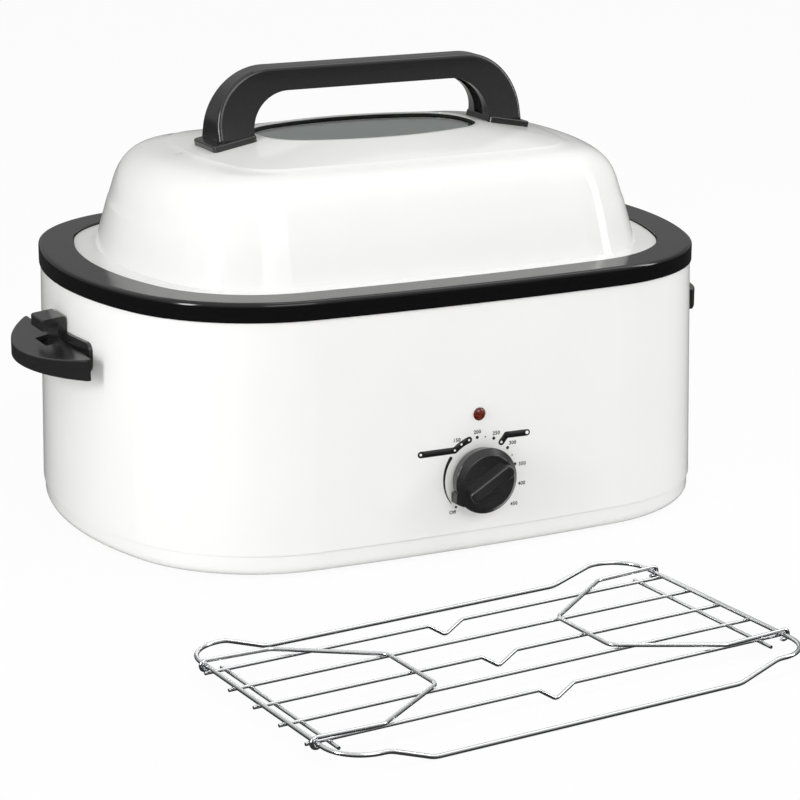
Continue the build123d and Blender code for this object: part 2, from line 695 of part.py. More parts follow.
def grip_plan(half_length, reach, back_x):
    """An arc that bulges to +X, with short straight ends back to back_x."""
    bulge = ThreePointArc((GRIP_X, -half_length), (END_X + reach, 0), (GRIP_X, half_length))
    return make_face([bulge, Polyline(bulge @ 1, (back_x, half_length), (back_x, -half_length), bulge @ 0)])


def wedge(low_z, high_z):
    """A block along Y whose upper and lower faces fall towards the grip's outer edge."""
    inner_x, back_x, outer_x = END_X - GRIP_REACH, END_X + GRIP_BACK, END_X + GRIP_REACH + 1
    profile = Polyline(
        (inner_x, low_z), (back_x, low_z), (outer_x, low_z - GRIP_UNDER_FALL),
        (outer_x, high_z - GRIP_TOP_FALL), (back_x, high_z), (inner_x, high_z), close=True,
    )
    side = Plane(origin=(0, GRIP_HALF_LENGTH + 1, 0), x_dir=(1, 0, 0), z_dir=(0, -1, 0))
    return side * extrude(make_face(profile), 2 * GRIP_HALF_LENGTH + 2)


def make_side_handle():
    """The right-hand side handle."""
    low_z, top_z = GRIP_Z, GRIP_Z + GRIP_HEIGHT
    plan = grip_plan(GRIP_HALF_LENGTH, GRIP_REACH, END_X + GRIP_BACK)
    block = Pos(0, 0, low_z - 10) * extrude(plan, GRIP_HEIGHT + 20)
    grip = block & wedge(low_z, top_z)
    screw_z = low_z + GRIP_HEIGHT / 2
    curved = grip.edges().filter_by(lambda e: e.geom_type != GeomType.LINE)
    grip = fillet(curved.filter_by(lambda e: e.center().Z > screw_z), 1.2)
    inside = grip_plan(GRIP_HALF_LENGTH - 1.5 * GRIP_WALL, GRIP_REACH - GRIP_WALL, END_X)
    pocket = Pos(0, 0, low_z - 10) * extrude(inside, GRIP_HEIGHT + 20)
    grip -= pocket & wedge(low_z - 5, top_z - GRIP_WALL)
    for y in (-WEB_Y, WEB_Y):
        web = Pos(END_X - WEB_DEPTH, y, low_z - 5) * Box(
            2 * WEB_DEPTH, WEB_THICKNESS, GRIP_HEIGHT + 4, align=(Align.MIN, Align.CENTER, Align.MIN))
        grip += web & wedge(low_z, top_z - GRIP_WALL / 2)
    notch_x = END_X + HOOK_GAP + HOOK_POST
    grip -= Pos(notch_x, 0, top_z) * Box(
        NOTCH_DEPTH, 2 * HOOK_HALF_WIDTH, 6 * GRIP_WALL, align=(Align.MIN, Align.CENTER, Align.CENTER))
    handle = back_plate() + grip + hook() - wall_block(0)
    for x, y, z in handle_screw_axes():
        handle -= along_x(HANDLE_SCREW_RADIUS, x - 4, x + HANDLE_SCREW_DEPTH + 1, y, screw_z)
    return handle


def make_side_handle_screws():
    screws = []
    for x, y, z in handle_screw_axes():
        inner_x = x - SHEET - SEAT_GAP
        screw = along_x(HANDLE_SCREW_RADIUS, inner_x - 1, x + HANDLE_SCREW_DEPTH, y, z)
        screw += along_x(HANDLE_SCREW_HEAD_RADIUS, inner_x - 0.8 - HANDLE_SCREW_HEAD, inner_x - 0.8, y, z)
        screws += [screw, mirror(screw, about=Plane.YZ)]
    return screws


# ---- pan -------------------------------------------------------------------------------------

def make_cooking_pan():
    """Deep pan whose wide rim covers the housing's top edge and has a ledge for the lid."""
    sheet = ENAMELLED_SHEET
    rim = slab(RIM, RIM_TOP_Z - SKIRT_HEIGHT, RIM_TOP_Z)
    rim = fillet(rim.edges().group_by(Axis.Z)[-1], RIM_EDGE_RADIUS)
    hollow = slab(RIM.inset(sheet), RIM_TOP_Z - SKIRT_HEIGHT - 1, RIM_TOP_Z - sheet)
    rim -= fillet(hollow.edges().group_by(Axis.Z)[-1], RIM_EDGE_RADIUS - sheet)
    rim += slab(RIM.inset(RIM_WIDTH - sheet), LEDGE_Z - sheet, RIM_TOP_Z)
    rim -= slab(RIM.inset(RIM_WIDTH), LEDGE_Z, RIM_TOP_Z + 1)
    outer_gap = SHEET + PAN_GAP
    floor_z = WELL_FLOOR_Z + SHEET + PAN_FLOOR_GAP
    over = LEDGE_Z + 1
    rim += tub(well_outline(LEDGE_Z).inset(outer_gap), LEDGE_Z, well_outline(floor_z).inset(outer_gap),
               floor_z, WELL_EDGE_RADIUS)
    return rim - tub(well_outline(over).inset(outer_gap + sheet), over,
                     well_outline(floor_z).inset(outer_gap + sheet), floor_z + sheet,
                     WELL_EDGE_RADIUS - sheet)


# ---- lid -------------------------------------------------------------------------------------

def measures(outline):
    """Half length, half width, front bow, end bow and corner radius of an outline."""
    front = outline.front_radius - sqrt(outline.front_radius**2 - outline.half_length**2)
    end = outline.end_radius - sqrt(outline.end_radius**2 - outline.half_width**2)
    return outline.half_length, outline.half_width, front, end, outline.corner_radius


def bezier(points, share):
    """Point at share along the cubic curve of four control points, each with any number of values."""
    weights = (
        (1 - share) ** 3, 3 * share * (1 - share) ** 2, 3 * share**2 * (1 - share), share**3
    )
    return [sum(w * value for w, value in zip(weights, values)) for values in zip(*points)]


def shoulder_points():
    """Control points of the shoulder: outline measures and height, from the wall's top to the crown."""
    wall_top = RIM.inset(LID_WALL_INSET + LID_WALL_LEAN)
    pulled = RIM.inset(LID_WALL_INSET + LID_WALL_LEAN * (1 + WALL_PULL / LID_WALL_HEIGHT))
    half_length = WINDOW_HALF_LENGTH + CROWN_LENGTH_MARGIN
    half_width = WINDOW_HALF_WIDTH + CROWN_WIDTH_MARGIN
    crown = (half_length, half_width, CROWN_FRONT_BOW, CROWN_END_BOW, CROWN_CORNER_RADIUS)
    bows = [(low + high) / 2 for low, high in zip(measures(pulled)[2:], crown[2:])]
    eased = (
        half_length + CROWN_PULL * (CROWN_LENGTH_MARGIN - WINDOW_SEAT),
        half_width + CROWN_PULL * (CROWN_WIDTH_MARGIN - WINDOW_SEAT),
    )
    wall_top_z = LEDGE_Z + LID_WALL_HEIGHT
    crown_z = CROWN_Z - CROWN_FALL
    return [
        (*measures(wall_top), wall_top_z),
        (*measures(pulled), wall_top_z + WALL_PULL),
        (*eased, *bows, crown_z - CROWN_PULL * CROWN_FALL),
        (*crown, crown_z),
    ]


def dome_sections():
    """Outlines and heights of the dome's outside, from the flange up to the window's seat."""
    points = shoulder_points()
    sections = [(RIM.inset(LID_WALL_INSET), LEDGE_Z)]
    for step in range(SHOULDER_STEPS + 1):
        *values, z = bezier(points, step / SHOULDER_STEPS)
        sections.append((bowed_oval(*values), z))
    sections.append((WINDOW.inset(-WINDOW_SEAT), CROWN_Z))
    return sections


def dome_solid(drop=0.0):
    """The dome as a filled block, made smaller all round by drop."""
    faces = [outline.inset(drop).face(z - drop) for outline, z in dome_sections()]
    wall = loft(faces[:2], ruled=True)
    shoulder = loft(faces[1:-1])
    crown = loft(faces[-2:], ruled=True)
    return wall + shoulder + crown


def make_lid_shell():
    shell = slab(RIM.inset(RIM_WIDTH + LID_FLANGE_GAP), LEDGE_Z, LEDGE_Z + SHEET)
    shell += dome_solid()
    shell -= dome_solid(SHEET)
    shell -= slab(WINDOW, CROWN_Z - 10, CROWN_Z + 10)
    for x in (-screw_x(), screw_x()):
        shell -= disc(LID_SCREW_RADIUS + HOLE_CLEARANCE, CROWN_Z - 30, CROWN_Z + 10, x)
    vent = extrude(SlotOverall(VENT_LENGTH, VENT_WIDTH), 60)
    return shell - Pos(VENT_X, VENT_Y, CROWN_Z - 50) * vent


def screw_x():
    """Distance of the lid handle's screws from the middle."""
    return ARCH_HALF_LENGTH - ARCH_LEG / 2


def make_window_gasket():
    """A rubber ring under the window's edge, with a groove round the glass."""
    top = CROWN_Z - SHEET
    low = top - GLASS_DROP - GLASS_THICKNESS - GASKET_WALL
    outside = WINDOW.inset(-WINDOW_SEAT + SHEET + SEAT_GAP)
    gasket = slab(outside, low, top) - slab(WINDOW.inset(GASKET_LIP), low - 1, top + 1)
    glass_top = top - GLASS_DROP
    return gasket - slab(WINDOW, glass_top - GLASS_THICKNESS, glass_top)


def make_window_glass():
    glass_top = CROWN_Z - SHEET - GLASS_DROP
    return slab(WINDOW, glass_top - GLASS_THICKNESS, glass_top)


ARCH_HALF_LENGTH = WINDOW_HALF_LENGTH + ARCH_WINDOW_GAP + ARCH_LEG


def arch_side():
    """Side view of the lid handle in X and Z, with its legs down to below the dome."""
    low_z = CROWN_Z - 20
    inner = ARCH_HALF_LENGTH - ARCH_LEG
    under_z = ARCH_TOP_Z - ARCH_BAR_HEIGHT
    outer_face = Polyline((-ARCH_HALF_LENGTH, low_z), (-ARCH_HALF_LENGTH, ARCH_TOP_Z),
                          (ARCH_HALF_LENGTH, ARCH_TOP_Z), (ARCH_HALF_LENGTH, low_z), close=True)
    outer = fillet(make_face(outer_face).vertices().group_by(Axis.Y)[-1], ARCH_OUTER_RADIUS)
    inner_face = Polyline((-inner, low_z - 1), (-inner, under_z), (inner, under_z), (inner, low_z - 1),
                          close=True)
    opening = fillet(make_face(inner_face).vertices().group_by(Axis.Y)[-1], ARCH_INNER_RADIUS)
    return outer, opening


def arch_flanks():
    """End view of the lid handle in Y and Z: narrow at the bar and spreading to the feet."""
    low_z = CROWN_Z - 30
    right = ThreePointArc(
        (ARCH_FOOT_HALF_DEPTH, CROWN_Z + ARCH_FOOT_RISE),
        (ARCH_KNEE_HALF_DEPTH, ARCH_TOP_Z - ARCH_KNEE_DROP),
        (ARCH_TOP_HALF_DEPTH, ARCH_TOP_Z),
    )
    left = mirror(right, about=Plane.YZ)
    foot = Polyline(left @ 0, (-ARCH_FOOT_HALF_DEPTH, low_z), (ARCH_FOOT_HALF_DEPTH, low_z), right @ 0)
    return make_face([right, Line(right @ 1, left @ 1), left, foot])


def make_lid_handle():
    """Moulded arch: a rounded bar on two legs that widen to flanged feet seated on the dome."""
    outer, opening = arch_side()
    side = Plane(origin=(0, 0, 0), x_dir=(1, 0, 0), z_dir=(0, -1, 0))
    end = Plane(origin=(-ARCH_HALF_LENGTH - 1, 0, 0), x_dir=(0, 1, 0), z_dir=(1, 0, 0))
    arch = side * extrude(outer, 2 * ARCH_FOOT_HALF_DEPTH, both=True)
    arch &= end * extrude(arch_flanks(), 2 * ARCH_HALF_LENGTH + 2)
    long_edges = arch.edges().filter_by(lambda e: e.center().Z > CROWN_Z - 15 and abs(e.center().Y) > 1)
    arch = fillet(long_edges, ARCH_EDGE_RADIUS)
    arch -= side * extrude(opening, 2 * ARCH_FOOT_HALF_DEPTH, both=True)
    hollow = offset(opening, ARCH_HOLLOW, kind=Kind.TANGENT)
    arch -= side * extrude(hollow, ARCH_HOLLOW_HALF_DEPTH, both=True)
    length = ARCH_LEG + FOOT_TOE + FOOT_HEEL
    depth = 2 * (ARCH_FOOT_HALF_DEPTH + FOOT_SIDE)
    plate = Pos(0, 0, -20) * extrude(RectangleRounded(length, depth, 4), 20 + FOOT_PLATE)
    plate = fillet(plate.edges().group_by(Axis.Z)[-1], 1.2)
    for sign in (-1, 1):
        middle = sign * (screw_x() + (FOOT_TOE - FOOT_HEEL) / 2)
        arch += Pos(middle, 0, CROWN_Z - FOOT_MIDDLE_DROP) * Rot(0, sign * FOOT_SLOPE, 0) * plate
        arch -= disc(LID_SCREW_RADIUS, CROWN_Z - 30, screw_top_z() + 1, sign * screw_x())
    return arch - dome_solid()


def washer_seat_z():
    """Height of the flat lower face of the lid handle's washers."""
    return CROWN_Z - SHEET - 9.0


def screw_top_z():
    """Height of the tips of the lid handle's screws."""
    return washer_seat_z() + LID_SCREW_DEPTH + 5.0


def make_lid_handle_washers():
    """Wedge washers whose upper faces follow the inside of the dome."""
    inside = dome_solid(SHEET)
    washers = []
    for x in (-screw_x(), screw_x()):
        washer = disc(LID_WASHER_RADIUS, washer_seat_z(), CROWN_Z, x) & inside
        washers.append(washer - disc(LID_SCREW_RADIUS + HOLE_CLEARANCE, CROWN_Z - 30, CROWN_Z, x))
    return washers


def make_lid_handle_screws():
    seat_z = washer_seat_z()
    screws = []
    for x in (-screw_x(), screw_x()):
        screw = disc(LID_SCREW_RADIUS, seat_z - 1, screw_top_z(), x)
        screw += disc(LID_SCREW_HEAD_RADIUS, seat_z - LID_SCREW_HEAD, seat_z, x)
        screws.append(screw)
    return screws


# ---- rack ------------------------------------------------------------------------------------

RACK = Location((*RACK_PLACE, 0), (0, 0, RACK_TURN))
END_WIRE_Z = OUTER_WIRE_RADIUS + RACK_RISE
LONG_WIRE_Z = END_WIRE_Z - OUTER_WIRE_RADIUS - LONG_WIRE_RADIUS
END_ROD_Z = LONG_WIRE_Z - 2 * LONG_WIRE_RADIUS
HANDLE_EYE_Y = 2 * LONG_WIRE_PITCH + HANDLE_EYE_OFFSET


def wire_along(path, radius):
    """A round wire that follows a path."""
    start = Plane(origin=path @ 0, z_dir=path % 0)
    return sweep(start * Circle(radius), path=path)


def make_rack_outer_wire():
    """Closed loop: low runs front and rear, raised ends that carry the long wires."""
    shoulder_x, shoulder_y = RACK_HALF_LENGTH - RACK_END_RUN, RACK_HALF_WIDTH - RACK_END_TAPER
    path = FilletPolyline(
        (RACK_HALF_LENGTH, 0, END_WIRE_Z),
        (RACK_HALF_LENGTH, shoulder_y, END_WIRE_Z),
        (shoulder_x, shoulder_y, END_WIRE_Z),
        (shoulder_x - RACK_SLOPE_RUN, RACK_HALF_WIDTH, OUTER_WIRE_RADIUS),
        (0, RACK_HALF_WIDTH, OUTER_WIRE_RADIUS),
        radius=[RACK_CORNER_RADIUS, RACK_BEND_RADIUS, RACK_BEND_RADIUS],
    )
    quarter = wire_along(path, OUTER_WIRE_RADIUS)
    half = quarter + mirror(quarter, about=Plane.YZ)
    return RACK * (half + mirror(half, about=Plane.XZ))


def make_long_wire(y, dipped):
    """A straight wire under the raised ends, with a V in the middle that reaches the counter."""
    end = RACK_HALF_LENGTH + LONG_WIRE_STUB
    if not dipped:
        path = Line((-end, y, LONG_WIRE_Z), (end, y, LONG_WIRE_Z))
        return RACK * wire_along(path, LONG_WIRE_RADIUS)
    slope = hypot(DIP_HALF_WIDTH, LONG_WIRE_Z - LONG_WIRE_RADIUS) / DIP_HALF_WIDTH
    path = FilletPolyline(
        (-end, y, LONG_WIRE_Z),
        (-DIP_HALF_WIDTH, y, LONG_WIRE_Z),
        (0, y, LONG_WIRE_RADIUS - DIP_BEND_RADIUS * (slope - 1)),
        (DIP_HALF_WIDTH, y, LONG_WIRE_Z),
        (end, y, LONG_WIRE_Z),
        radius=DIP_BEND_RADIUS,
    )
    return RACK * wire_along(path, LONG_WIRE_RADIUS)


def make_end_rod(side):
    """A short cross rod just inside the raised end, under the long wires."""
    x = side * (RACK_HALF_LENGTH - END_ROD_INSET)
    half_length = 2 * LONG_WIRE_PITCH + END_ROD_OVERHANG
    path = Line((x, -half_length, END_ROD_Z), (x, half_length, END_ROD_Z))
    return RACK * wire_along(path, LONG_WIRE_RADIUS)


def make_rack_handle(side):
    """A wire handle with an open eye at each end, folded in flat over the long wires."""
    eye = OUTER_WIRE_RADIUS + HANDLE_CLEARANCE + HANDLE_WIRE_RADIUS
    high_z = END_WIRE_Z + eye
    low_z = LONG_WIRE_Z + LONG_WIRE_RADIUS + HANDLE_CLEARANCE + HANDLE_WIRE_RADIUS
    leg_x, grip_x = RACK_HALF_LENGTH - HANDLE_LEG, RACK_HALF_LENGTH - HANDLE_REACH
    leg_z = high_z + (low_z - high_z) * HANDLE_LEG / HANDLE_REACH
    path = FilletPolyline(
        (RACK_HALF_LENGTH, HANDLE_EYE_Y, high_z),
        (leg_x, HANDLE_EYE_Y, leg_z),
        (grip_x, HANDLE_GRIP_HALF, low_z),
        (grip_x, -HANDLE_GRIP_HALF, low_z),
        (leg_x, -HANDLE_EYE_Y, leg_z),
        (RACK_HALF_LENGTH, -HANDLE_EYE_Y, high_z),
        radius=HANDLE_BEND_RADIUS,
    )
    handle = wire_along(path, HANDLE_WIRE_RADIUS)
    for y in (-HANDLE_EYE_Y, HANDLE_EYE_Y):
        arc = CenterArc((0, 0), eye, 90, -HANDLE_EYE_WRAP)
        frame = Plane(origin=(RACK_HALF_LENGTH, y, END_WIRE_Z), x_dir=(1, 0, 0), z_dir=(0, -1, 0))
        handle += wire_along(frame * arc, HANDLE_WIRE_RADIUS)
    if side < 0:
        handle = mirror(handle, about=Plane.YZ)
    return RACK * handle


# ---- all nodes -------------------------------------------------------------------------------

def all_nodes():
    """Every node's name and the solid or solids that it holds."""
    right_handle = make_side_handle()
    nodes = {
        "outer_body": make_outer_body(),
        "base_pan": make_base_pan(),
        "rubber_feet": make_rubber_feet(),
        "well_liner": make_well_liner(),
        "insulation_blanket": make_insulation_blanket(),
        "heater_band": make_heater_band(),
        "heater_clamp_strips": make_heater_clamp(),
        "thermostat": make_thermostat(),
        "thermostat_nut": make_thermostat_nut(),
        "sensor_bracket": make_sensor_bracket(),
        "indicator_lens": make_indicator_lens(),
        "indicator_lamp": make_indicator_lamp(),
        "lamp_clip": make_lamp_clip(),
        "terminal_block": make_terminal_block(),
        "cord_gland": make_cord_gland(),
        "thermal_fuse": make_thermal_fuse(),
        "base_standoffs": make_base_standoffs(),
        "base_screws": make_base_screws(),
        "side_handle_right": right_handle,
        "side_handle_left": mirror(right_handle, about=Plane.YZ),
        "side_handle_screws": make_side_handle_screws(),
        "cooking_pan": make_cooking_pan(),
        "lid_shell": make_lid_shell(),
        "window_gasket": make_window_gasket(),
        "window_glass": make_window_glass(),
        "lid_handle": make_lid_handle(),
        "lid_handle_washers": make_lid_handle_washers(),
        "lid_handle_screws": make_lid_handle_screws(),
        "knob": make_knob(),
        "knob_shaft": make_knob_shaft(),
        "rack_outer_wire": make_rack_outer_wire(),
        "rack_end_rod_left": make_end_rod(-1),
        "rack_end_rod_right": make_end_rod(1),
        "rack_handle_left": make_rack_handle(-1),
        "rack_handle_right": make_rack_handle(1),
    }
    for index in range(5):
        y = (2 - index) * LONG_WIRE_PITCH
        nodes[f"rack_long_wire_{index + 1}"] = make_long_wire(y, dipped=index % 2 == 0)
    return nodes


os.makedirs("parts", exist_ok=True)
for name, shape in all_nodes().items():
    if isinstance(shape, list):
        shape = Compound(children=[solid for piece in shape for solid in piece.solids()])
    export_step(shape, f"parts/{name}.step")
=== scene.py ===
import json
from math import cos, radians, sin

import bmesh
import bpy
from mathutils import Matrix, Vector


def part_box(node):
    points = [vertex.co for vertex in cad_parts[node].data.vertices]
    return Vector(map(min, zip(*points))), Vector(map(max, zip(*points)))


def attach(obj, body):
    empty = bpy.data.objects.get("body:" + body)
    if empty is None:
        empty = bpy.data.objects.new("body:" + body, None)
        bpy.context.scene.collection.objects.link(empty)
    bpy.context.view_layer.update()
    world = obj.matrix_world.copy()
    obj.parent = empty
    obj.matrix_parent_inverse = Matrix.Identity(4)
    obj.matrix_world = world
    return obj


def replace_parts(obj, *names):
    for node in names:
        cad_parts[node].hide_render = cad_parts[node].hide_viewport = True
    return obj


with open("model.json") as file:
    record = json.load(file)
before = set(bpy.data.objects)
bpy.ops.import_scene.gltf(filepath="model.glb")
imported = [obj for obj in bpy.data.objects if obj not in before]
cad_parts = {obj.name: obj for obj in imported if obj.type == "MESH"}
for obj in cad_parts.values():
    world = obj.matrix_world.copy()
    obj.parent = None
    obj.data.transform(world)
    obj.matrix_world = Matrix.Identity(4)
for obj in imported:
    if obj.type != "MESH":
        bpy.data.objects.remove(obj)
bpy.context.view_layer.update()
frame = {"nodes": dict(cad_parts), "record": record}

bl_info = {
    "name": "Electric Roaster Oven",
    "version": (1, 0, 0),
    "blender": (4, 5, 0),
    "location": "3D View > Sidebar > Roaster",
    "description": "Finishes the roaster oven's pieces and sets up the studio round it",
    "category": "Object",
}

NODES = frame["nodes"]
MM = 0.001


# ---- sizes read from the frame ---------------------------------------------------------------

def middle(node):
    """Middle of a node's box."""
    low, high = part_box(node)
    return (low + high) / 2


RIM_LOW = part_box("cooking_pan")[0]
SHAFT = middle("knob_shaft")
SLOTS = {part["node"]: part["material_slot"] for part in frame["record"]["subparts"]}

# a ray towards the front wall starts this far in front of the rim
RAY_MARGIN = 0.2

# camera: angles in degrees, distances in metres
CAMERA_AZIMUTH = -25.905
CAMERA_ELEVATION = 15.568
CAMERA_DISTANCE = 2.2045
CAMERA_AIM = (0.03775, 0.01189, 0.0657)
CAMERA_RANGE = (0.05, 50.0)
SENSOR_WIDTH = 36.0

# studio: the share of the floor that is plain white, its level in reflections, and the room that glossy
# surfaces reflect, as pairs of a height (0 straight down, 0.5 level, 1 straight up) and a brightness
FLOOR_WHITENESS = 0.93
FLOOR_REFLECTION = 0.04
ROOM_REFLECTIONS = ((0.50, 0.26), (0.65, 0.28), (0.80, 0.75), (1.0, 0.78))
AMBIENT_LEVEL = 0.58

# lamps: place, the point it faces, and size, in metres
LAMPS = {
    "key": ((-0.1, -2.6, 1.7), (0, 0, 0.12), (1.6, 1.2)),
    "top": ((1.0, -0.2, 2.4), (0, 0, 0.2), (0.8, 2.2)),
    "side": ((2.2, -1.1, 1.2), (0, 0, 0.15), (0.4, 1.4)),
    "fill": ((-2.3, -0.8, 0.9), (-0.2, 0, 0.15), (0.4, 1.2)),
}

# most of a noise pattern lies between these levels
NOISE_LOW = 0.3
NOISE_HIGH = 0.7

# the dial: angles in degrees, clockwise from the top, and points in metres from the knob's axis
CAP_SHARE = 0.72
TEXT_WEIGHT = 0.11 * MM
TEXT_SPACING = 1.08
DOT_SIDES = 24
STROKE_STEPS = 24
OFF_DOT = (223.4, 29.7 * MM)
OFF_BAR = (233.0, 306.0)
OFF_BAR_RADIUS = 30.4 * MM
BAR_WIDTH = 2.7 * MM
LOW_BAND = (318.4, 331.0, 343.6)
LOW_TAIL_X = -50.0 * MM
HIGH_BAND = 37.4
HIGH_ELBOW = (23.6 * MM, 30.4 * MM)
HIGH_END = (41.8 * MM, 30.0 * MM)
NUMBERED_DOTS = (356.6, 23.3, 51.0, 79.0, 106.7, 134.0)
SMALL_DOTS = (9.5, 64.6)
OFF_DOT_SHARE = 0.8
LOW_DOT_SHARE = 0.7
BAND_END_DOT_SHARE = 0.8
HIGH_DOT_SHARE = 1.1
LABELS = {
    "Off": (222.5, 34.6 * MM), "150": (328.3, 36.9 * MM), "200": (357.2, 35.9 * MM), "250": (24.0, 36.1 * MM),
    "300": (51.0, 37.3 * MM), "350": (81.6, 37.9 * MM), "400": (105.4, 38.5 * MM), "450": (130.5, 39.8 * MM),
}

# screws: head radius and height, shank radius, length and thread pitch, and shares of these
PAN_HEADS = {
    "lid_handle_screws": (4.5 * MM, 3.0 * MM, 2.4 * MM, 19.0 * MM, 0.9 * MM),
    "base_screws": (4.2 * MM, 1.4 * MM, 2.0 * MM, 12.8 * MM, 0.8 * MM),
    "side_handle_screws": (4.0 * MM, 2.4 * MM, 1.9 * MM, 15.4 * MM, 0.8 * MM),
}
HEAD_WALL_SHARE = 0.45
HEAD_TOP_SHARE = 0.74
SLIT_LENGTH_SHARE = 1.05
SLIT_WIDTH_SHARE = 0.24
SLIT_DEPTH_SHARE = 0.8
CORE_SHARE = 0.84
THREAD_SHARE = 0.87
RIDGE_SHARE = 0.13

# the rack's welds
LONG_WIRE_WIDTH = 2.5 * MM
WELD_RADIUS = 1.5 * MM
WELD_FLATNESS = 0.45
CROSSING_STEPS = 1200


# ---- colours and nodes -----------------------------------------------------------------------

def linear(code):
    """An sRGB colour such as #A0B1C2 as linear red, green and blue."""
    levels = [int(code[at:at + 2], 16) / 255 for at in (1, 3, 5)]
    return tuple(c / 12.92 if c <= 0.04045 else ((c + 0.055) / 1.055) ** 2.4 for c in levels)


def chosen(name):
    """A colour that is set in the panel."""
    return tuple(getattr(bpy.context.scene.roaster_colours, name))


def scaled(colour, factor):
    """A lighter or darker colour of the same hue."""
    return tuple(factor * part for part in colour)


def per_metre(millimetres):
    """Scale of a pattern whose features are that many millimetres across."""
    return 1000.0 / millimetres


def add(tree, kind, sockets=None, **settings):
    """Adds a node, sets its properties, and fills or links its input sockets."""
    node = tree.nodes.new(kind)
    for name, value in settings.items():
        setattr(node, name, value)
    for name, value in (sockets or {}).items():
        if isinstance(value, bpy.types.NodeSocket):
            tree.links.new(value, node.inputs[name])
        else:
            node.inputs[name].default_value = value
    return node


def new_material(name):
    """An empty node material and its tree."""
    material = bpy.data.materials.new(name)
    material.use_nodes = True
    material.node_tree.nodes.clear()
    return material, material.node_tree


def finish_surface(tree, shader):
    """Links a shader to the material's output."""
    add(tree, "ShaderNodeOutputMaterial", {"Surface": shader})


def principled(tree, sockets):
    """Adds a surface shader with the given sockets and links it to the output."""
    finish_surface(tree, add(tree, "ShaderNodeBsdfPrincipled", sockets).outputs["BSDF"])


def noise(tree, size_mm, detail=2.0, roughness=0.5, stretch=(1, 1, 1)):
    """A noise pattern on object coordinates, with features of the given size."""
    coordinates = add(tree, "ShaderNodeTexCoord")
    mapping = add(tree, "ShaderNodeMapping", {"Vector": coordinates.outputs["Object"], "Scale": stretch})
    return add(tree, "ShaderNodeTexNoise", {
        "Vector": mapping.outputs["Vector"], "Scale": per_metre(size_mm), "Detail": detail,
        "Roughness": roughness,
    }).outputs["Fac"]


def between(tree, factor, low, high):
    """A number that runs from low to high as the factor runs from 0 to 1."""
    return add(tree, "ShaderNodeMapRange", {
        "Value": factor, "From Min": NOISE_LOW, "From Max": NOISE_HIGH, "To Min": low, "To Max": high,
    }).outputs["Result"]


def tinted(tree, factor, low, high):
    """A colour that runs from low to high as the factor runs from 0 to 1."""
    ramp = add(tree, "ShaderNodeValToRGB", {"Fac": factor})
    for stop, place, colour in zip(ramp.color_ramp.elements, (NOISE_LOW, NOISE_HIGH), (low, high)):
        stop.position = place
        stop.color = (*colour, 1)
    return ramp.outputs["Color"]


def bump(tree, height, depth_mm, strength=1.0):
    """A normal from a height pattern of the given depth."""
    return add(tree, "ShaderNodeBump", {
        "Height": height, "Distance": depth_mm * MM, "Strength": strength,
    }).outputs["Normal"]


# ---- finishes --------------------------------------------------------------------------------

def white_enamel():
    """Baked white enamel sprayed on steel: a clean gloss with a faint orange peel."""
    material, tree = new_material("white_enamel")
    peel = noise(tree, 2.4)
    cloud = noise(tree, 60.0)
    paint = chosen("white_enamel")
    principled(tree, {
        "Base Color": tinted(tree, cloud, scaled(paint, 0.985), paint),
        "Roughness": between(tree, peel, 0.10, 0.13),
        "IOR": 1.5,
        "Normal": bump(tree, peel, 0.006),
    })
    return material


def black_enamel():
    """Fired black porcelain enamel: glassy, with a slow wave where it flowed."""
    material, tree = new_material("black_enamel")
    flow = noise(tree, 9.0)
    speck = noise(tree, 0.5, detail=0.0)
    glaze = chosen("black_enamel")
    principled(tree, {
        "Base Color": tinted(tree, speck, glaze, scaled(glaze, 1.6)),
        "Roughness": between(tree, flow, 0.10, 0.15),
        "IOR": 1.5,
        "Normal": bump(tree, flow, 0.02),
    })
    return material


def black_phenolic():
    """Compression-moulded phenolic: polished where the mould was, with a fine flow grain."""
    material, tree = new_material("black_phenolic")
    grain = noise(tree, 1.2, detail=3.0)
    resin = chosen("phenolic")
    principled(tree, {
        "Base Color": tinted(tree, grain, resin, scaled(resin, 1.5)),
        "Roughness": between(tree, grain, 0.17, 0.22),
        "IOR": 1.6,
        "Normal": bump(tree, grain, 0.002),
    })
    return material


def black_rubber():
    """Moulded silicone rubber: soft black with a matt, slightly dusty skin."""
    material, tree = new_material("black_rubber")
    skin = noise(tree, 0.4, detail=3.0)
    principled(tree, {
        "Base Color": tinted(tree, skin, linear("#101010"), linear("#1C1C1C")),
        "Roughness": between(tree, skin, 0.5, 0.65),
        "IOR": 1.43,
        "Normal": bump(tree, skin, 0.02),
    })
    return material


def bright_wire():
    """Nickel-chrome plated steel wire: mirror bright, with fine drawing lines along it."""
    material, tree = new_material("bright_wire")
    lines = noise(tree, 0.6, detail=2.0)
    principled(tree, {
        "Base Color": tinted(tree, lines, linear("#DCDEDF"), linear("#ECEDEE")),
        "Metallic": 1.0,
        "Roughness": between(tree, lines, 0.14, 0.20),
        "Normal": bump(tree, lines, 0.004),
    })
    return material


def plated_steel():
    """Zinc-plated steel: a soft grey shine with a cloudy passivated film."""
    material, tree = new_material("plated_steel")
    film = noise(tree, 4.0, detail=4.0)
    principled(tree, {
        "Base Color": tinted(tree, film, linear("#A8A9A5"), linear("#C2C3C0")),
        "Metallic": 1.0,
        "Roughness": between(tree, film, 0.28, 0.42),
    })
    return material


def liner_steel():
    """Aluminised steel sheet: a dull silver with a broad crystalline mottle."""
    material, tree = new_material("liner_steel")
    mottle = noise(tree, 6.0, detail=5.0)
    principled(tree, {
        "Base Color": tinted(tree, mottle, linear("#9C9E9F"), linear("#B7B9BA")),
        "Metallic": 1.0,
        "Roughness": between(tree, mottle, 0.32, 0.48),
    })
    return material


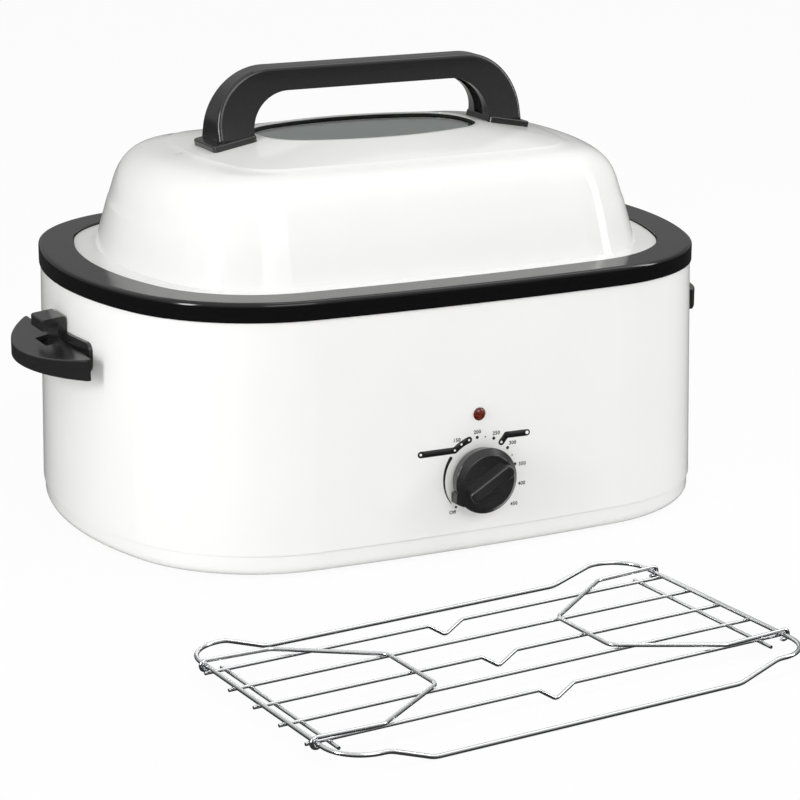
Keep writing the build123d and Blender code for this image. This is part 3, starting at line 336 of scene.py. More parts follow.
def heater_steel():
    """Heat-stained steel sheath of the heating band: brown and straw oxide tints."""
    material, tree = new_material("heater_steel")
    stain = noise(tree, 25.0, detail=4.0)
    principled(tree, {
        "Base Color": tinted(tree, stain, linear("#5C5048"), linear("#8A8078")),
        "Metallic": 1.0,
        "Roughness": between(tree, stain, 0.40, 0.55),
    })
    return material


def glass_wool():
    """Needled glass-fibre felt: pale straw, matt, with fibres that run every way."""
    material, tree = new_material("glass_wool")
    fibres = noise(tree, 1.5, detail=6.0, roughness=0.7, stretch=(1, 1, 4))
    principled(tree, {
        "Base Color": tinted(tree, fibres, linear("#D9CFA9"), linear("#F0E9CF")),
        "Roughness": 0.9,
        "Sheen Weight": 0.3,
        "Normal": bump(tree, fibres, 0.6),
    })
    return material


def control_plastic():
    """Moulded melamine and ceramic of the control parts: warm grey and matt."""
    material, tree = new_material("control_plastic")
    grain = noise(tree, 0.8, detail=3.0)
    principled(tree, {
        "Base Color": tinted(tree, grain, linear("#B5AB98"), linear("#C4BBA9")),
        "Roughness": between(tree, grain, 0.5, 0.6),
        "IOR": 1.5,
    })
    return material


def window_glass():
    """Tempered soda-lime glass: clear, with a faint green cast in its thickness."""
    material, tree = new_material("window_glass")
    wave = noise(tree, 40.0)
    principled(tree, {
        "Base Color": (*linear("#C4D0CA"), 1),
        "Roughness": between(tree, wave, 0.0, 0.02),
        "IOR": 1.52,
        "Transmission Weight": 1.0,
    })
    return material


def lamp_glass():
    """Thin blown glass of the neon bulb: clear and faintly orange."""
    material, tree = new_material("lamp_glass")
    wave = noise(tree, 3.0)
    principled(tree, {
        "Base Color": (*linear("#F5D9C4"), 1),
        "Roughness": between(tree, wave, 0.02, 0.06),
        "IOR": 1.47,
        "Transmission Weight": 0.7,
    })
    return material


def red_lens():
    """Transparent red polycarbonate, unlit: deep oxblood, with a painted reflection of lighter red scattered
    in random patches.
    """
    material, tree = new_material("red_lens")
    swirl_and_painted_reflection = noise(tree, 2.2, detail=3.0)
    principled(tree, {
        # painted reflection: the lighter red #8C3A24 stands for light reflected in the lens; the same noise
        # also varies the roughness and the bump
        "Base Color": tinted(tree, swirl_and_painted_reflection, chosen("lens"), linear("#8C3A24")),
        "Roughness": between(tree, swirl_and_painted_reflection, 0.05, 0.12),
        "IOR": 1.585,
        "Transmission Weight": 0.35,
        "Normal": bump(tree, swirl_and_painted_reflection, 0.05),
    })
    return material


def print_ink(name, code):
    """Screen-printed heat-proof ink: flat colour with a soft sheen and a ragged film."""
    material, tree = new_material(name)
    film = noise(tree, 0.3, detail=2.0)
    ink = linear(code)
    principled(tree, {
        "Base Color": tinted(tree, film, ink, tuple(min(1.0, 1.08 * c + 0.002) for c in ink)),
        "Roughness": between(tree, film, 0.35, 0.45),
        "IOR": 1.5,
    })
    return material


FINISHES = {
    "white_enamel": white_enamel,
    "black_enamel": black_enamel,
    "black_phenolic": black_phenolic,
    "black_rubber": black_rubber,
    "rack_wire": bright_wire,
    "plated_steel": plated_steel,
    "liner_steel": liner_steel,
    "heater_steel": heater_steel,
    "glass_wool": glass_wool,
    "control_plastic": control_plastic,
    "window_glass": window_glass,
    "lamp_glass": lamp_glass,
    "red_lens": red_lens,
}


def finish_of(slot):
    """The material of a slot, made when it is first asked for."""
    made = bpy.data.materials.get(slot + "_finish")
    if made is None:
        made = FINISHES[slot]()
        made.name = slot + "_finish"
    return made


def coat(*names):
    """Gives CAD nodes the finish of their slot in the record."""
    for name in names:
        mesh = NODES[name].data
        mesh.materials.clear()
        mesh.materials.append(finish_of(SLOTS[name]))


# ---- marks on the front wall -----------------------------------------------------------------

def dial_point(angle, radius):
    """A point of the dial, at an angle clockwise from the top, in metres from the knob's axis."""
    turn = radians(angle)
    return Vector((radius * sin(turn), radius * cos(turn), 0))


def wall_y(x, z):
    """Y of the front wall's outside at a place on it."""
    start = Vector((x, RIM_LOW.y - RAY_MARGIN, z))
    hit, where, _, _ = NODES["outer_body"].ray_cast(start, Vector((0, 1, 0)))
    if not hit:
        raise RuntimeError(f"there is no wall behind the mark at {x:.4f}, {z:.4f}")
    return where.y


def lay_on_wall(mesh, lift, thickness):
    """Takes a flat mesh from the dial's plane to the curved wall and gives it a thickness."""
    work = bmesh.new()
    work.from_mesh(mesh)
    bmesh.ops.remove_doubles(work, verts=work.verts, dist=0.001 * MM)
    work.verts.index_update()
    back = []
    for vertex in work.verts:
        x, z = SHAFT.x + vertex.co.x, SHAFT.z + vertex.co.y
        back.append(Vector((x, wall_y(x, z) - lift, z)))
    front = [Vector((point.x, point.y - thickness, point.z)) for point in back]
    sheet = [[vertex.index for vertex in face.verts] for face in work.faces]
    rim = [edge for edge in work.edges if edge.is_boundary]
    rounded = 2 * [face.smooth for face in work.faces] + [edge.link_faces[0].smooth for edge in rim]
    rim = [[vertex.index for vertex in edge.verts] for edge in rim]
    work.free()
    count = len(back)
    walls = [(a, b, count + b, count + a) for a, b in rim]
    mesh.clear_geometry()
    mesh.from_pydata(back + front, [], sheet + [[count + i for i in face] for face in sheet] + walls)
    mesh.polygons.foreach_set("use_smooth", rounded)
    work = bmesh.new()
    work.from_mesh(mesh)
    bmesh.ops.recalc_face_normals(work, faces=work.faces[:])
    work.to_mesh(mesh)
    work.free()
    return mesh


def flat_text(words, height):
    """A line of text as a flat mesh, centred on the origin."""
    curve = bpy.data.curves.new("words", "FONT")
    curve.body = words
    curve.size = height / CAP_SHARE
    curve.align_x = "CENTER"
    curve.align_y = "CENTER"
    curve.resolution_u = 3
    curve.offset = TEXT_WEIGHT
    curve.space_character = TEXT_SPACING
    holder = bpy.data.objects.new("words", curve)
    bpy.context.scene.collection.objects.link(holder)
    bpy.context.view_layer.update()
    mesh = bpy.data.meshes.new_from_object(holder.evaluated_get(bpy.context.evaluated_depsgraph_get()))
    bpy.data.objects.remove(holder)
    return mesh


def joined(name, meshes):
    """Several meshes as one."""
    work = bmesh.new()
    for mesh in meshes:
        work.from_mesh(mesh)
        bpy.data.meshes.remove(mesh)
    whole = bpy.data.meshes.new(name)
    work.to_mesh(whole)
    work.free()
    return whole


def shifted(mesh, place):
    """A mesh moved to a place."""
    mesh.transform(Matrix.Translation(place))
    return mesh


def new_piece(name, mesh, body, material, smooth=False):
    """A finished piece at the origin that rides on a body."""
    mesh.name = name
    mesh.materials.clear()
    mesh.materials.append(material)
    if smooth:
        mesh.shade_smooth()
    piece = bpy.data.objects.new(name, mesh)
    bpy.context.scene.collection.objects.link(piece)
    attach(piece, body)
    return piece


# ---- geometry node trees ---------------------------------------------------------------------

def geometry_tree(name, inputs):
    """An empty geometry tree with a geometry input and output, and the named inputs."""
    tree = bpy.data.node_groups.new(name, "GeometryNodeTree")
    tree.interface.new_socket("Geometry", in_out="INPUT", socket_type="NodeSocketGeometry")
    for label, kind, value in inputs:
        socket = tree.interface.new_socket(label, in_out="INPUT", socket_type=kind)
        if value is not None:
            socket.default_value = value
    tree.interface.new_socket("Geometry", in_out="OUTPUT", socket_type="NodeSocketGeometry")
    return tree, add(tree, "NodeGroupInput").outputs


def close_tree(tree, geometry, material):
    """Ends a geometry tree in Realize Instances and Set Material."""
    real = add(tree, "GeometryNodeRealizeInstances", {"Geometry": geometry})
    painted = add(tree, "GeometryNodeSetMaterial", {
        "Geometry": real.outputs["Geometry"], "Material": material})
    add(tree, "NodeGroupOutput", {"Geometry": painted.outputs["Geometry"]})


def grown(name, points, edges, attributes, tree, values):
    """The plain mesh that a geometry tree makes from points with attributes."""
    mesh = bpy.data.meshes.new(name)
    mesh.from_pydata([tuple(p) for p in points], edges, [])
    for label, numbers in attributes.items():
        if isinstance(numbers[0], Vector):
            flat = [part for vector in numbers for part in vector]
            mesh.attributes.new(label, "FLOAT_VECTOR", "POINT").data.foreach_set("vector", flat)
        else:
            mesh.attributes.new(label, "FLOAT", "POINT").data.foreach_set("value", numbers)
    holder = bpy.data.objects.new(name, mesh)
    bpy.context.scene.collection.objects.link(holder)
    modifier = holder.modifiers.new(name, "NODES")
    modifier.node_group = tree
    sockets = {item.name: item.identifier for item in tree.interface.items_tree if item.in_out == "INPUT"}
    for label, value in values.items():
        modifier[sockets[label]] = value
    bpy.context.view_layer.update()
    grown_mesh = bpy.data.meshes.new_from_object(holder.evaluated_get(bpy.context.evaluated_depsgraph_get()))
    holder.modifiers.clear()
    bpy.data.objects.remove(holder)
    bpy.data.meshes.remove(mesh)
    return grown_mesh


def dots_tree():
    """Flat round dots on points, as large as each point's size."""
    tree, inputs = geometry_tree("Printed Dots", [
        ("Sides", "NodeSocketInt", DOT_SIDES), ("Ink", "NodeSocketMaterial", None)])
    disc = add(tree, "GeometryNodeMeshCircle", {"Vertices": inputs["Sides"], "Radius": 1.0}, fill_type="NGON")
    size = add(tree, "GeometryNodeInputNamedAttribute", {"Name": "size"}, data_type="FLOAT")
    scale = add(tree, "ShaderNodeCombineXYZ", {
        "X": size.outputs["Attribute"], "Y": size.outputs["Attribute"], "Z": 1.0})
    dots = add(tree, "GeometryNodeInstanceOnPoints", {
        "Points": inputs["Geometry"], "Instance": disc.outputs["Mesh"], "Scale": scale.outputs["Vector"]})
    close_tree(tree, dots.outputs["Instances"], inputs["Ink"])
    return tree


def strokes_tree():
    """Flat printed strokes along lines, as wide as each point's width."""
    tree, inputs = geometry_tree("Printed Strokes", [("Ink", "NodeSocketMaterial", None)])
    path = add(tree, "GeometryNodeMeshToCurve", {"Mesh": inputs["Geometry"]})
    upright = add(tree, "GeometryNodeSetCurveNormal", {"Curve": path.outputs["Curve"]}, mode="Z_UP")
    width = add(tree, "GeometryNodeInputNamedAttribute", {"Name": "width"}, data_type="FLOAT")
    across = add(tree, "GeometryNodeCurvePrimitiveLine", {"Start": (-0.5, 0, 0), "End": (0.5, 0, 0)})
    ribbon = add(tree, "GeometryNodeCurveToMesh", {
        "Curve": upright.outputs["Curve"], "Profile Curve": across.outputs["Curve"],
        "Scale": width.outputs["Attribute"]})
    close_tree(tree, ribbon.outputs["Mesh"], inputs["Ink"])
    return tree


def screws_tree():
    """Cross-recessed pan-head screws on points, each with its head towards the point's axis."""
    tree, inputs = geometry_tree("Pan Head Screws", [
        ("Head Radius", "NodeSocketFloat", 0.004), ("Head Height", "NodeSocketFloat", 0.002),
        ("Shank Radius", "NodeSocketFloat", 0.002), ("Length", "NodeSocketFloat", 0.012),
        ("Pitch", "NodeSocketFloat", 0.0008), ("Finish", "NodeSocketMaterial", None)])
    head_radius, head_height = inputs["Head Radius"], inputs["Head Height"]
    shank_radius, length = inputs["Shank Radius"], inputs["Length"]

    def share(socket, factor):
        return add(tree, "ShaderNodeMath", {0: socket, 1: factor}, operation="MULTIPLY").outputs["Value"]

    def raised(mesh, height):
        lift = add(tree, "ShaderNodeCombineXYZ", {"Z": height})
        return add(tree, "GeometryNodeTransform", {
            "Geometry": mesh, "Translation": lift.outputs["Vector"]}).outputs["Geometry"]

    disc = add(tree, "GeometryNodeMeshCylinder", {
        "Vertices": 40, "Radius": head_radius, "Depth": share(head_height, HEAD_WALL_SHARE)},
        fill_type="NGON")
    crown = add(tree, "GeometryNodeMeshCone", {
        "Vertices": 40, "Radius Top": share(head_radius, HEAD_TOP_SHARE), "Radius Bottom": head_radius,
        "Depth": share(head_height, 1 - HEAD_WALL_SHARE)}, fill_type="NGON")
    blade = add(tree, "ShaderNodeCombineXYZ", {
        "X": share(head_radius, SLIT_LENGTH_SHARE), "Y": share(head_radius, SLIT_WIDTH_SHARE),
        "Z": share(head_height, SLIT_DEPTH_SHARE)})
    bar = add(tree, "GeometryNodeMeshCube", {"Size": blade.outputs["Vector"]})
    across = add(tree, "GeometryNodeTransform", {
        "Geometry": bar.outputs["Mesh"], "Rotation": (0, 0, radians(90))})
    pan = add(tree, "GeometryNodeMeshBoolean", {
        "Mesh 1": raised(crown.outputs["Mesh"], share(head_height, HEAD_WALL_SHARE))},
        operation="DIFFERENCE", solver="EXACT")
    for slit in (bar.outputs["Mesh"], across.outputs["Geometry"]):
        tree.links.new(raised(slit, head_height), pan.inputs["Mesh 2"])
    core = add(tree, "GeometryNodeMeshCylinder", {
        "Vertices": 20, "Radius": share(shank_radius, CORE_SHARE), "Depth": length}, fill_type="NGON")
    turns = add(tree, "ShaderNodeMath", {0: length, 1: inputs["Pitch"]}, operation="DIVIDE")
    coil = add(tree, "GeometryNodeCurveSpiral", {
        "Resolution": 18, "Rotations": turns.outputs["Value"], "Height": length,
        "Start Radius": share(shank_radius, THREAD_SHARE), "End Radius": share(shank_radius, THREAD_SHARE)})
    ridge = add(tree, "GeometryNodeCurvePrimitiveCircle", {
        "Resolution": 3, "Radius": share(shank_radius, RIDGE_SHARE)})
    thread = add(tree, "GeometryNodeCurveToMesh", {
        "Curve": coil.outputs["Curve"], "Profile Curve": ridge.outputs["Curve"], "Fill Caps": True})
    whole = add(tree, "GeometryNodeJoinGeometry")
    for mesh in (raised(disc.outputs["Mesh"], share(head_height, HEAD_WALL_SHARE / 2)), pan.outputs["Mesh"],
                 raised(core.outputs["Mesh"], share(length, -0.5)),
                 raised(thread.outputs["Mesh"], share(length, -1.0))):
        tree.links.new(mesh, whole.inputs["Geometry"])
    axis = add(tree, "GeometryNodeInputNamedAttribute", {"Name": "axis"}, data_type="FLOAT_VECTOR")
    aim = add(tree, "FunctionNodeAlignRotationToVector", {"Vector": axis.outputs["Attribute"]}, axis="Z")
    screws = add(tree, "GeometryNodeInstanceOnPoints", {
        "Points": inputs["Geometry"], "Instance": whole.outputs["Geometry"],
        "Rotation": aim.outputs["Rotation"]})
    close_tree(tree, screws.outputs["Instances"], inputs["Finish"])
    return tree


def welds_tree():
    """Low beads of melted steel on points, where two wires were pressed together and welded."""
    tree, inputs = geometry_tree("Wire Welds", [
        ("Radius", "NodeSocketFloat", 0.0015), ("Finish", "NodeSocketMaterial", None)])
    bead = add(tree, "GeometryNodeMeshIcoSphere", {"Radius": inputs["Radius"], "Subdivisions": 3})
    low = add(tree, "GeometryNodeTransform", {
        "Geometry": bead.outputs["Mesh"], "Scale": (1.0, 1.0, WELD_FLATNESS)})
    beads = add(tree, "GeometryNodeInstanceOnPoints", {
        "Points": inputs["Geometry"], "Instance": low.outputs["Geometry"]})
    round_ones = add(tree, "GeometryNodeSetShadeSmooth", {"Geometry": beads.outputs["Instances"]})
    close_tree(tree, round_ones.outputs["Geometry"], inputs["Finish"])
    return tree


def fastened(node, body, heads):
    """Screws that stand for a node, from pairs of a seat under the head and the way the head faces."""
    finish = finish_of(SLOTS[node])
    places, axes = zip(*heads)
    names = ("Head Radius", "Head Height", "Shank Radius", "Length", "Pitch")
    values = dict(zip(names, PAN_HEADS[node]), Finish=finish)
    mesh = grown(node + "_detail", places, [], {"axis": axes}, screws_tree(), values)
    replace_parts(new_piece(node + "_detail", mesh, body, finish), node)


def crossings(upper, lower):
    """Places where a long wire of the rack crosses another wire, found by rays along the long wire."""
    low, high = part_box(upper)
    inset = (high.z - max(low.z, high.z - LONG_WIRE_WIDTH)) / 2
    start, end = Vector((low.x, low.y + inset, 1)), Vector((high.x, high.y - inset, 1))
    groups = []
    for i in range(CROSSING_STEPS + 1):
        if not NODES[lower].ray_cast(start.lerp(end, i / CROSSING_STEPS), Vector((0, 0, -1)))[0]:
            continue
        if groups and i - groups[-1][-1] <= 2:
            groups[-1].append(i)
        else:
            groups.append([i])
    return [start.lerp(end, (group[0] + group[-1]) / 2 / CROSSING_STEPS) for group in groups]


# ---- sizes and colours that a user would change ----------------------------------------------

class RoasterColours(bpy.types.PropertyGroup):
    """Colours of the oven's finishes."""

    white_enamel: bpy.props.FloatVectorProperty(
        name="White Enamel", description="Housing and lid", subtype="COLOR", default=linear("#F6F6F4"))
    black_enamel: bpy.props.FloatVectorProperty(
        name="Black Enamel", description="Cooking pan and its rim", subtype="COLOR",
        default=linear("#0B0B0C"))
    phenolic: bpy.props.FloatVectorProperty(
        name="Phenolic", description="Handles and knob", subtype="COLOR", default=linear("#1D1D1D"))
    lens: bpy.props.FloatVectorProperty(
        name="Lens", description="Indicator lens, unlit", subtype="COLOR", default=linear("#4E1109"))


class RoasterDial(bpy.types.PropertyGroup):
    """Sizes of the printed dial."""

    radius: bpy.props.FloatProperty(
        name="Dot Circle", description="Radius of the circle of dots", unit="LENGTH", default=31.7 * MM)
    dot: bpy.props.FloatProperty(
        name="Dot", description="Radius of a numbered dot", unit="LENGTH", default=1.3 * MM)
    small_dot: bpy.props.FloatProperty(
        name="Small Dot", description="Radius of a dot without a number", unit="LENGTH", default=0.6 * MM)
    band: bpy.props.FloatProperty(
        name="Band", description="Width of the two thick bands", unit="LENGTH", default=5.2 * MM)
    text: bpy.props.FloatProperty(
        name="Numbers", description="Height of the numbers", unit="LENGTH", default=2.9 * MM)
    film: bpy.props.FloatProperty(
        name="Ink Film", description="Thickness of the ink", unit="LENGTH", default=0.04 * MM)


class RoasterStudio(bpy.types.PropertyGroup):
    """Floor, lamps and camera."""

    floor_radius: bpy.props.FloatProperty(
        name="Floor", description="Radius of the floor", unit="LENGTH", default=9.0)
    key_power: bpy.props.FloatProperty(
        name="Key Power", description="Power of the large lamp at the front", subtype="POWER", default=15.0)
    top_power: bpy.props.FloatProperty(
        name="Top Power", description="Power of the lamp overhead", subtype="POWER", default=10.0)
    side_power: bpy.props.FloatProperty(
        name="Side Power", description="Power of the strip lamp at the right", subtype="POWER", default=14.0)
    fill_power: bpy.props.FloatProperty(
        name="Fill Power", description="Power of the lamp at the left end", subtype="POWER", default=24.0)
    lens: bpy.props.FloatProperty(
        name="Focal Length", description="Focal length on a sensor 36 mm wide", default=117.5)


# ---- studio ----------------------------------------------------------------------------------

def ray_kinds(tree):
    """Two factors: 1 for camera and transmission rays, and 1 for glossy rays."""
    path = add(tree, "ShaderNodeLightPath")
    direct = add(tree, "ShaderNodeMath", {
        0: path.outputs["Is Camera Ray"], 1: path.outputs["Is Transmission Ray"]}, operation="MAXIMUM")
    return direct.outputs["Value"], path.outputs["Is Glossy Ray"]


def floor_material():
    """Matt white studio floor: seen as white with a share of the shadow, and dim in reflections."""
    material, tree = new_material("studio_floor")
    direct, mirrored = ray_kinds(tree)
    lit = add(tree, "ShaderNodeBsdfDiffuse", {"Color": (*linear("#EDEDED"), 1)})
    dim = add(tree, "ShaderNodeEmission", {"Color": (1, 1, 1, 1), "Strength": FLOOR_REFLECTION})
    white = add(tree, "ShaderNodeEmission", {"Color": (1, 1, 1, 1), "Strength": 1.0})
    other = add(tree, "ShaderNodeMixShader", {
        "Fac": mirrored, 1: lit.outputs["BSDF"], 2: dim.outputs["Emission"]})
    share = add(tree, "ShaderNodeMath", {0: direct, 1: FLOOR_WHITENESS}, operation="MULTIPLY")
    mix = add(tree, "ShaderNodeMixShader", {
        "Fac": share.outputs["Value"], 1: other.outputs["Shader"], 2: white.outputs["Emission"]})
    finish_surface(tree, mix.outputs["Shader"])
    return material


def studio_world():
    """Even white light, white where it is seen, and a dim room with a bright ceiling in reflections."""
    world = bpy.data.worlds.new("studio")
    world.use_nodes = True
    tree = world.node_tree
    tree.nodes.clear()
    direct, mirrored = ray_kinds(tree)
    coordinates = add(tree, "ShaderNodeTexCoord")
    direction = add(tree, "ShaderNodeSeparateXYZ", {"Vector": coordinates.outputs["Generated"]})
    height = add(tree, "ShaderNodeMapRange", {
        "Value": direction.outputs["Z"], "From Min": -1.0, "From Max": 1.0})
    walls = add(tree, "ShaderNodeValToRGB", {"Fac": height.outputs["Result"]})
    stops = walls.color_ramp.elements
    while len(stops) < len(ROOM_REFLECTIONS):
        stops.new(1.0)
    for stop, (position, level) in zip(stops, ROOM_REFLECTIONS):
        stop.position = position
        stop.color = (level, level, level, 1)
    room = add(tree, "ShaderNodeBackground", {"Color": walls.outputs["Color"], "Strength": 1.0})
    ambient = add(tree, "ShaderNodeBackground", {"Color": (1, 1, 1, 1), "Strength": AMBIENT_LEVEL})
    backdrop = add(tree, "ShaderNodeBackground", {"Color": (1, 1, 1, 1), "Strength": 1.0})
    unseen = add(tree, "ShaderNodeMixShader", {
        "Fac": mirrored, 1: ambient.outputs["Background"], 2: room.outputs["Background"]})
    mix = add(tree, "ShaderNodeMixShader", {
        "Fac": direct, 1: unseen.outputs["Shader"], 2: backdrop.outputs["Background"]})
    add(tree, "ShaderNodeOutputWorld", {"Surface": mix.outputs["Shader"]})
    return world


def lamp(name, place, aim, size, power):
    """A soft rectangular lamp that faces a point."""
    data = bpy.data.lights.new(name, "AREA")
    data.shape = "RECTANGLE"
    data.size, data.size_y = size
    data.energy = power
    holder = bpy.data.objects.new(name, data)
    bpy.context.scene.collection.objects.link(holder)
    holder.location = place
    holder.rotation_euler = (Vector(aim) - Vector(place)).to_track_quat("-Z", "Y").to_euler()


class ROASTER_OT_stage(bpy.types.Operator):
    """Makes the floor, the lamps, the world and the camera"""

    bl_idname = "roaster.stage"
    bl_label = "Set Up Studio"

    def execute(self, context):
        studio = context.scene.roaster_studio
        mesh = bpy.data.meshes.new("floor")
        work = bmesh.new()
        bmesh.ops.create_circle(work, cap_ends=True, segments=64, radius=studio.floor_radius)
        work.to_mesh(mesh)
        work.free()
        mesh.materials.append(floor_material())
        floor = bpy.data.objects.new("floor", mesh)
        context.scene.collection.objects.link(floor)
        context.scene.world = studio_world()
        for name, (place, aim, size) in LAMPS.items():
            lamp(name + "_lamp", place, aim, size, getattr(studio, name + "_power"))
        data = bpy.data.cameras.new("camera")
        data.sensor_width = SENSOR_WIDTH
        data.lens = studio.lens
        camera = bpy.data.objects.new("camera", data)
        context.scene.collection.objects.link(camera)
        turn, tilt = radians(CAMERA_AZIMUTH), radians(CAMERA_ELEVATION)
        back = Vector((sin(turn) * cos(tilt), -cos(turn) * cos(tilt), sin(tilt)))
        camera.location = Vector(CAMERA_AIM) + back * CAMERA_DISTANCE
        camera.rotation_euler = back.to_track_quat("Z", "Y").to_euler()
        data.clip_start, data.clip_end = CAMERA_RANGE
        context.scene.camera = camera
        context.scene.view_settings.view_transform = "Standard"
        return {"FINISHED"}


# ---- pieces ----------------------------------------------------------------------------------

class ROASTER_OT_housing(bpy.types.Operator):
    """Finishes the housing, its base tray, feet and cord gland"""

    bl_idname = "roaster.housing"
    bl_label = "Finish Housing"

    def execute(self, context):
        coat("outer_body", "base_pan", "rubber_feet", "cord_gland")
        return {"FINISHED"}


class ROASTER_OT_heating(bpy.types.Operator):
    """Finishes the well, the heater and the other pieces inside the housing"""

    bl_idname = "roaster.heating"
    bl_label = "Finish Heating Parts"

    def execute(self, context):
        coat("well_liner", "insulation_blanket", "heater_band", "heater_clamp_strips", "thermostat",
             "thermostat_nut", "sensor_bracket", "terminal_block", "thermal_fuse", "base_standoffs",
             "indicator_lamp", "lamp_clip")
        low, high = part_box("base_screws")
        inset = PAN_HEADS["base_screws"][0]
        seat = low.z + PAN_HEADS["base_screws"][1]
        fastened("base_screws", "housing", [
            (Vector((x, y, seat)), Vector((0, 0, -1)))
            for x in (low.x + inset, high.x - inset) for y in (low.y + inset, high.y - inset)])
        return {"FINISHED"}


class ROASTER_OT_side_handles(bpy.types.Operator):
    """Finishes the two side handles with their lid-rest hooks"""

    bl_idname = "roaster.side_handles"
    bl_label = "Finish Side Handles"

    def execute(self, context):
        coat("side_handle_left", "side_handle_right")
        low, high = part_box("side_handle_screws")
        head, _, _, length, _ = PAN_HEADS["side_handle_screws"]
        fastened("side_handle_screws", "housing", [
            (Vector((side * (high.x - length), y, middle("side_handle_screws").z)), Vector((-side, 0, 0)))
            for side in (-1, 1) for y in (low.y + head, high.y - head)])
        return {"FINISHED"}


class ROASTER_OT_pan(bpy.types.Operator):
    """Finishes the enamelled cooking pan"""

    bl_idname = "roaster.pan"
    bl_label = "Finish Pan"

    def execute(self, context):
        coat("cooking_pan")
        return {"FINISHED"}


class ROASTER_OT_lid(bpy.types.Operator):
    """Finishes the dome lid, its window and its handle"""

    bl_idname = "roaster.lid"
    bl_label = "Finish Lid"

    def execute(self, context):
        coat("lid_shell", "window_gasket", "window_glass", "lid_handle", "lid_handle_washers")
        low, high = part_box("lid_handle_screws")
        head, height, _, _, _ = PAN_HEADS["lid_handle_screws"]
        fastened("lid_handle_screws", "lid", [
            (Vector((x, 0, low.z + height)), Vector((0, 0, -1))) for x in (low.x + head, high.x - head)])
        return {"FINISHED"}


class ROASTER_OT_control(bpy.types.Operator):
    """Finishes the knob, its shaft and the indicator lens"""

    bl_idname = "roaster.control"
    bl_label = "Finish Control"

    def execute(self, context):
        coat("knob", "knob_shaft", "indicator_lens")
        return {"FINISHED"}


class ROASTER_OT_dial(bpy.types.Operator):
    """Prints the temperature scale on the front wall"""

    bl_idname = "roaster.dial"
    bl_label = "Print Dial"

    def execute(self, context):
        dial = context.scene.roaster_dial
        black = print_ink("print_black", "#1B1B1B")
        white = print_ink("print_white", "#F2F2F0")

        def mark(angle):
            return dial_point(angle, dial.radius)

        def dots(name, places, ink):
            points, sizes = zip(*places)
            return grown(name, points, [], {"size": sizes}, dots_tree(), {"Sides": DOT_SIDES, "Ink": ink})

        def stroke(name, points, widths, ink):
            edges = [(i, i + 1) for i in range(len(points) - 1)]
            return grown(name, points, edges, {"width": widths}, strokes_tree(), {"Ink": ink})

        plain = [(mark(angle), dial.dot) for angle in NUMBERED_DOTS]
        plain += [(mark(angle), dial.small_dot) for angle in SMALL_DOTS]
        plain.append((dial_point(*OFF_DOT), OFF_DOT_SHARE * dial.dot))
        meshes = [dots("scale_dots", plain, black)]

        shares = [i / STROKE_STEPS for i in range(STROKE_STEPS + 1)]
        sweep = [OFF_BAR[0] + (OFF_BAR[1] - OFF_BAR[0]) * share for share in shares]
        bar_widths = [dial.small_dot + (BAR_WIDTH - dial.small_dot) * share for share in shares]
        meshes.append(stroke("off_bar", [dial_point(a, OFF_BAR_RADIUS) for a in sweep], bar_widths, black))
        meshes.append(dots("off_bar_end", [(dial_point(OFF_BAR[1], OFF_BAR_RADIUS), BAR_WIDTH / 2)], black))

        low_band = [mark(LOW_BAND[-1] + (LOW_BAND[0] - LOW_BAND[-1]) * share) for share in shares]
        tail_end = Vector((LOW_TAIL_X, low_band[-1].y, 0))
        low_band += [low_band[-1].lerp(tail_end, share) for share in shares[1:]]
        high_band = [mark(HIGH_BAND)]
        for corner in (HIGH_ELBOW, HIGH_END):
            start = high_band[-1].copy()
            high_band += [start.lerp(Vector((*corner, 0)), share) for share in shares[1:]]
        for name, line in (("low_band", low_band), ("high_band", high_band)):
            meshes.append(stroke(name, line, [dial.band] * len(line), black))
            corners = [(line[at], dial.band / 2) for at in (0, -1, STROKE_STEPS)]
            meshes.append(dots(name + "_ends", corners, black))
        for words, place in LABELS.items():
            meshes.append(shifted(flat_text(words, dial.text), dial_point(*place)))
        lift = dial.film / 4
        printed = joined("dial_print", [lay_on_wall(mesh, lift, dial.film) for mesh in meshes])
        new_piece("dial_print", printed, "housing", black)

        bare = [(mark(angle), LOW_DOT_SHARE * dial.dot) for angle in LOW_BAND]
        bare += [(mark(HIGH_BAND), BAND_END_DOT_SHARE * dial.dot), (tail_end, BAND_END_DOT_SHARE * dial.dot),
                 (Vector((*HIGH_END, 0)), HIGH_DOT_SHARE * dial.dot)]
        over = lay_on_wall(dots("band_dots", bare, white), lift + dial.film, dial.film)
        new_piece("dial_band_dots", over, "housing", white)
        return {"FINISHED"}


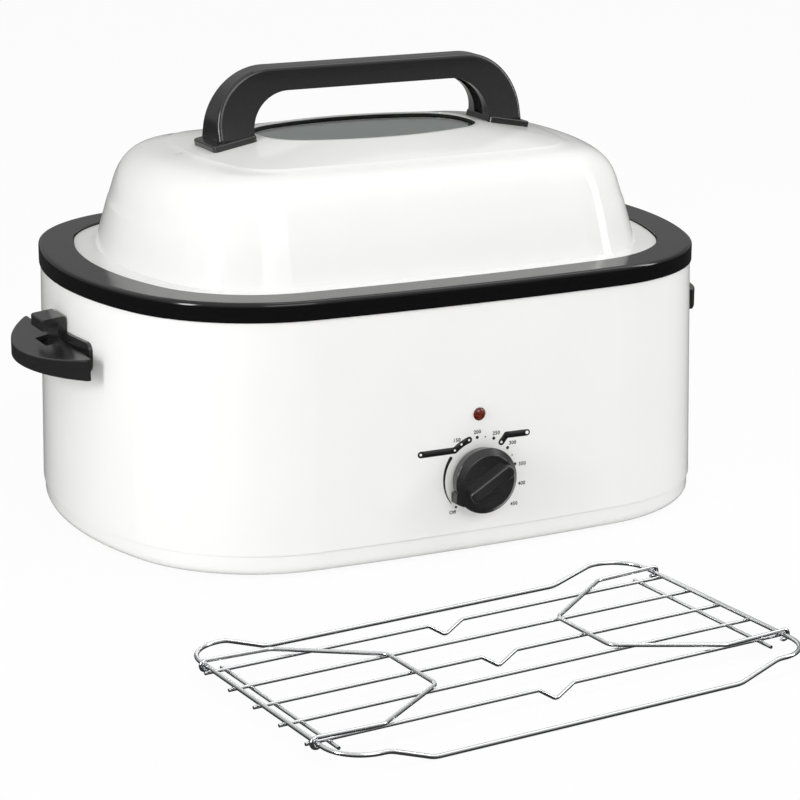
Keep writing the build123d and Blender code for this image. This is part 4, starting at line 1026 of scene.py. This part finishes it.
class ROASTER_OT_rack(bpy.types.Operator):
    """Finishes the wire rack and its folding handles"""

    bl_idname = "roaster.rack"
    bl_label = "Finish Rack"

    def execute(self, context):
        coat(*[name for name in NODES if name.startswith("rack_")])
        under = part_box("rack_end_rod_left")[1].z
        beads = []
        for wire in [name for name in NODES if name.startswith("rack_long_wire")]:
            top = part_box(wire)[1].z
            for rod in ("rack_end_rod_left", "rack_end_rod_right"):
                beads += [Vector((place.x, place.y, under)) for place in crossings(wire, rod)]
            beads += [Vector((place.x, place.y, top)) for place in crossings(wire, "rack_outer_wire")]
        finish = finish_of(SLOTS["rack_outer_wire"])
        welds = grown("rack_welds", beads, [], {}, welds_tree(), {"Radius": WELD_RADIUS, "Finish": finish})
        new_piece("rack_welds", welds, "rack", finish)
        return {"FINISHED"}


class ROASTER_PT_panel(bpy.types.Panel):
    """Sizes, colours and steps of the roaster oven"""

    bl_label = "Electric Roaster Oven"
    bl_idname = "ROASTER_PT_panel"
    bl_space_type = "VIEW_3D"
    bl_region_type = "UI"
    bl_category = "Roaster"

    def draw(self, context):
        layout = self.layout
        for label, group in (("Colours", context.scene.roaster_colours), ("Dial", context.scene.roaster_dial),
                             ("Studio", context.scene.roaster_studio)):
            box = layout.box()
            box.label(text=label)
            for name in group.__annotations__:
                box.prop(group, name)
        for step in STEPS:
            layout.operator(step.bl_idname)


STEPS = (
    ROASTER_OT_stage, ROASTER_OT_housing, ROASTER_OT_heating, ROASTER_OT_side_handles, ROASTER_OT_pan,
    ROASTER_OT_lid, ROASTER_OT_control, ROASTER_OT_dial, ROASTER_OT_rack,
)
GROUPS = {"roaster_colours": RoasterColours, "roaster_dial": RoasterDial, "roaster_studio": RoasterStudio}


def register():
    """Registers the classes and puts the settings on the scene."""
    for kind in (*GROUPS.values(), *STEPS, ROASTER_PT_panel):
        bpy.utils.register_class(kind)
    for name, kind in GROUPS.items():
        setattr(bpy.types.Scene, name, bpy.props.PointerProperty(type=kind))


def unregister():
    """Takes the settings off the scene and unregisters the classes."""
    for name in GROUPS:
        delattr(bpy.types.Scene, name)
    for kind in reversed((*GROUPS.values(), *STEPS, ROASTER_PT_panel)):
        bpy.utils.unregister_class(kind)


def main():
    """Runs every step in order."""
    register()
    for step in STEPS:
        group, name = step.bl_idname.split(".")
        getattr(getattr(bpy.ops, group), name)()


if __name__ == "__main__":
    main()
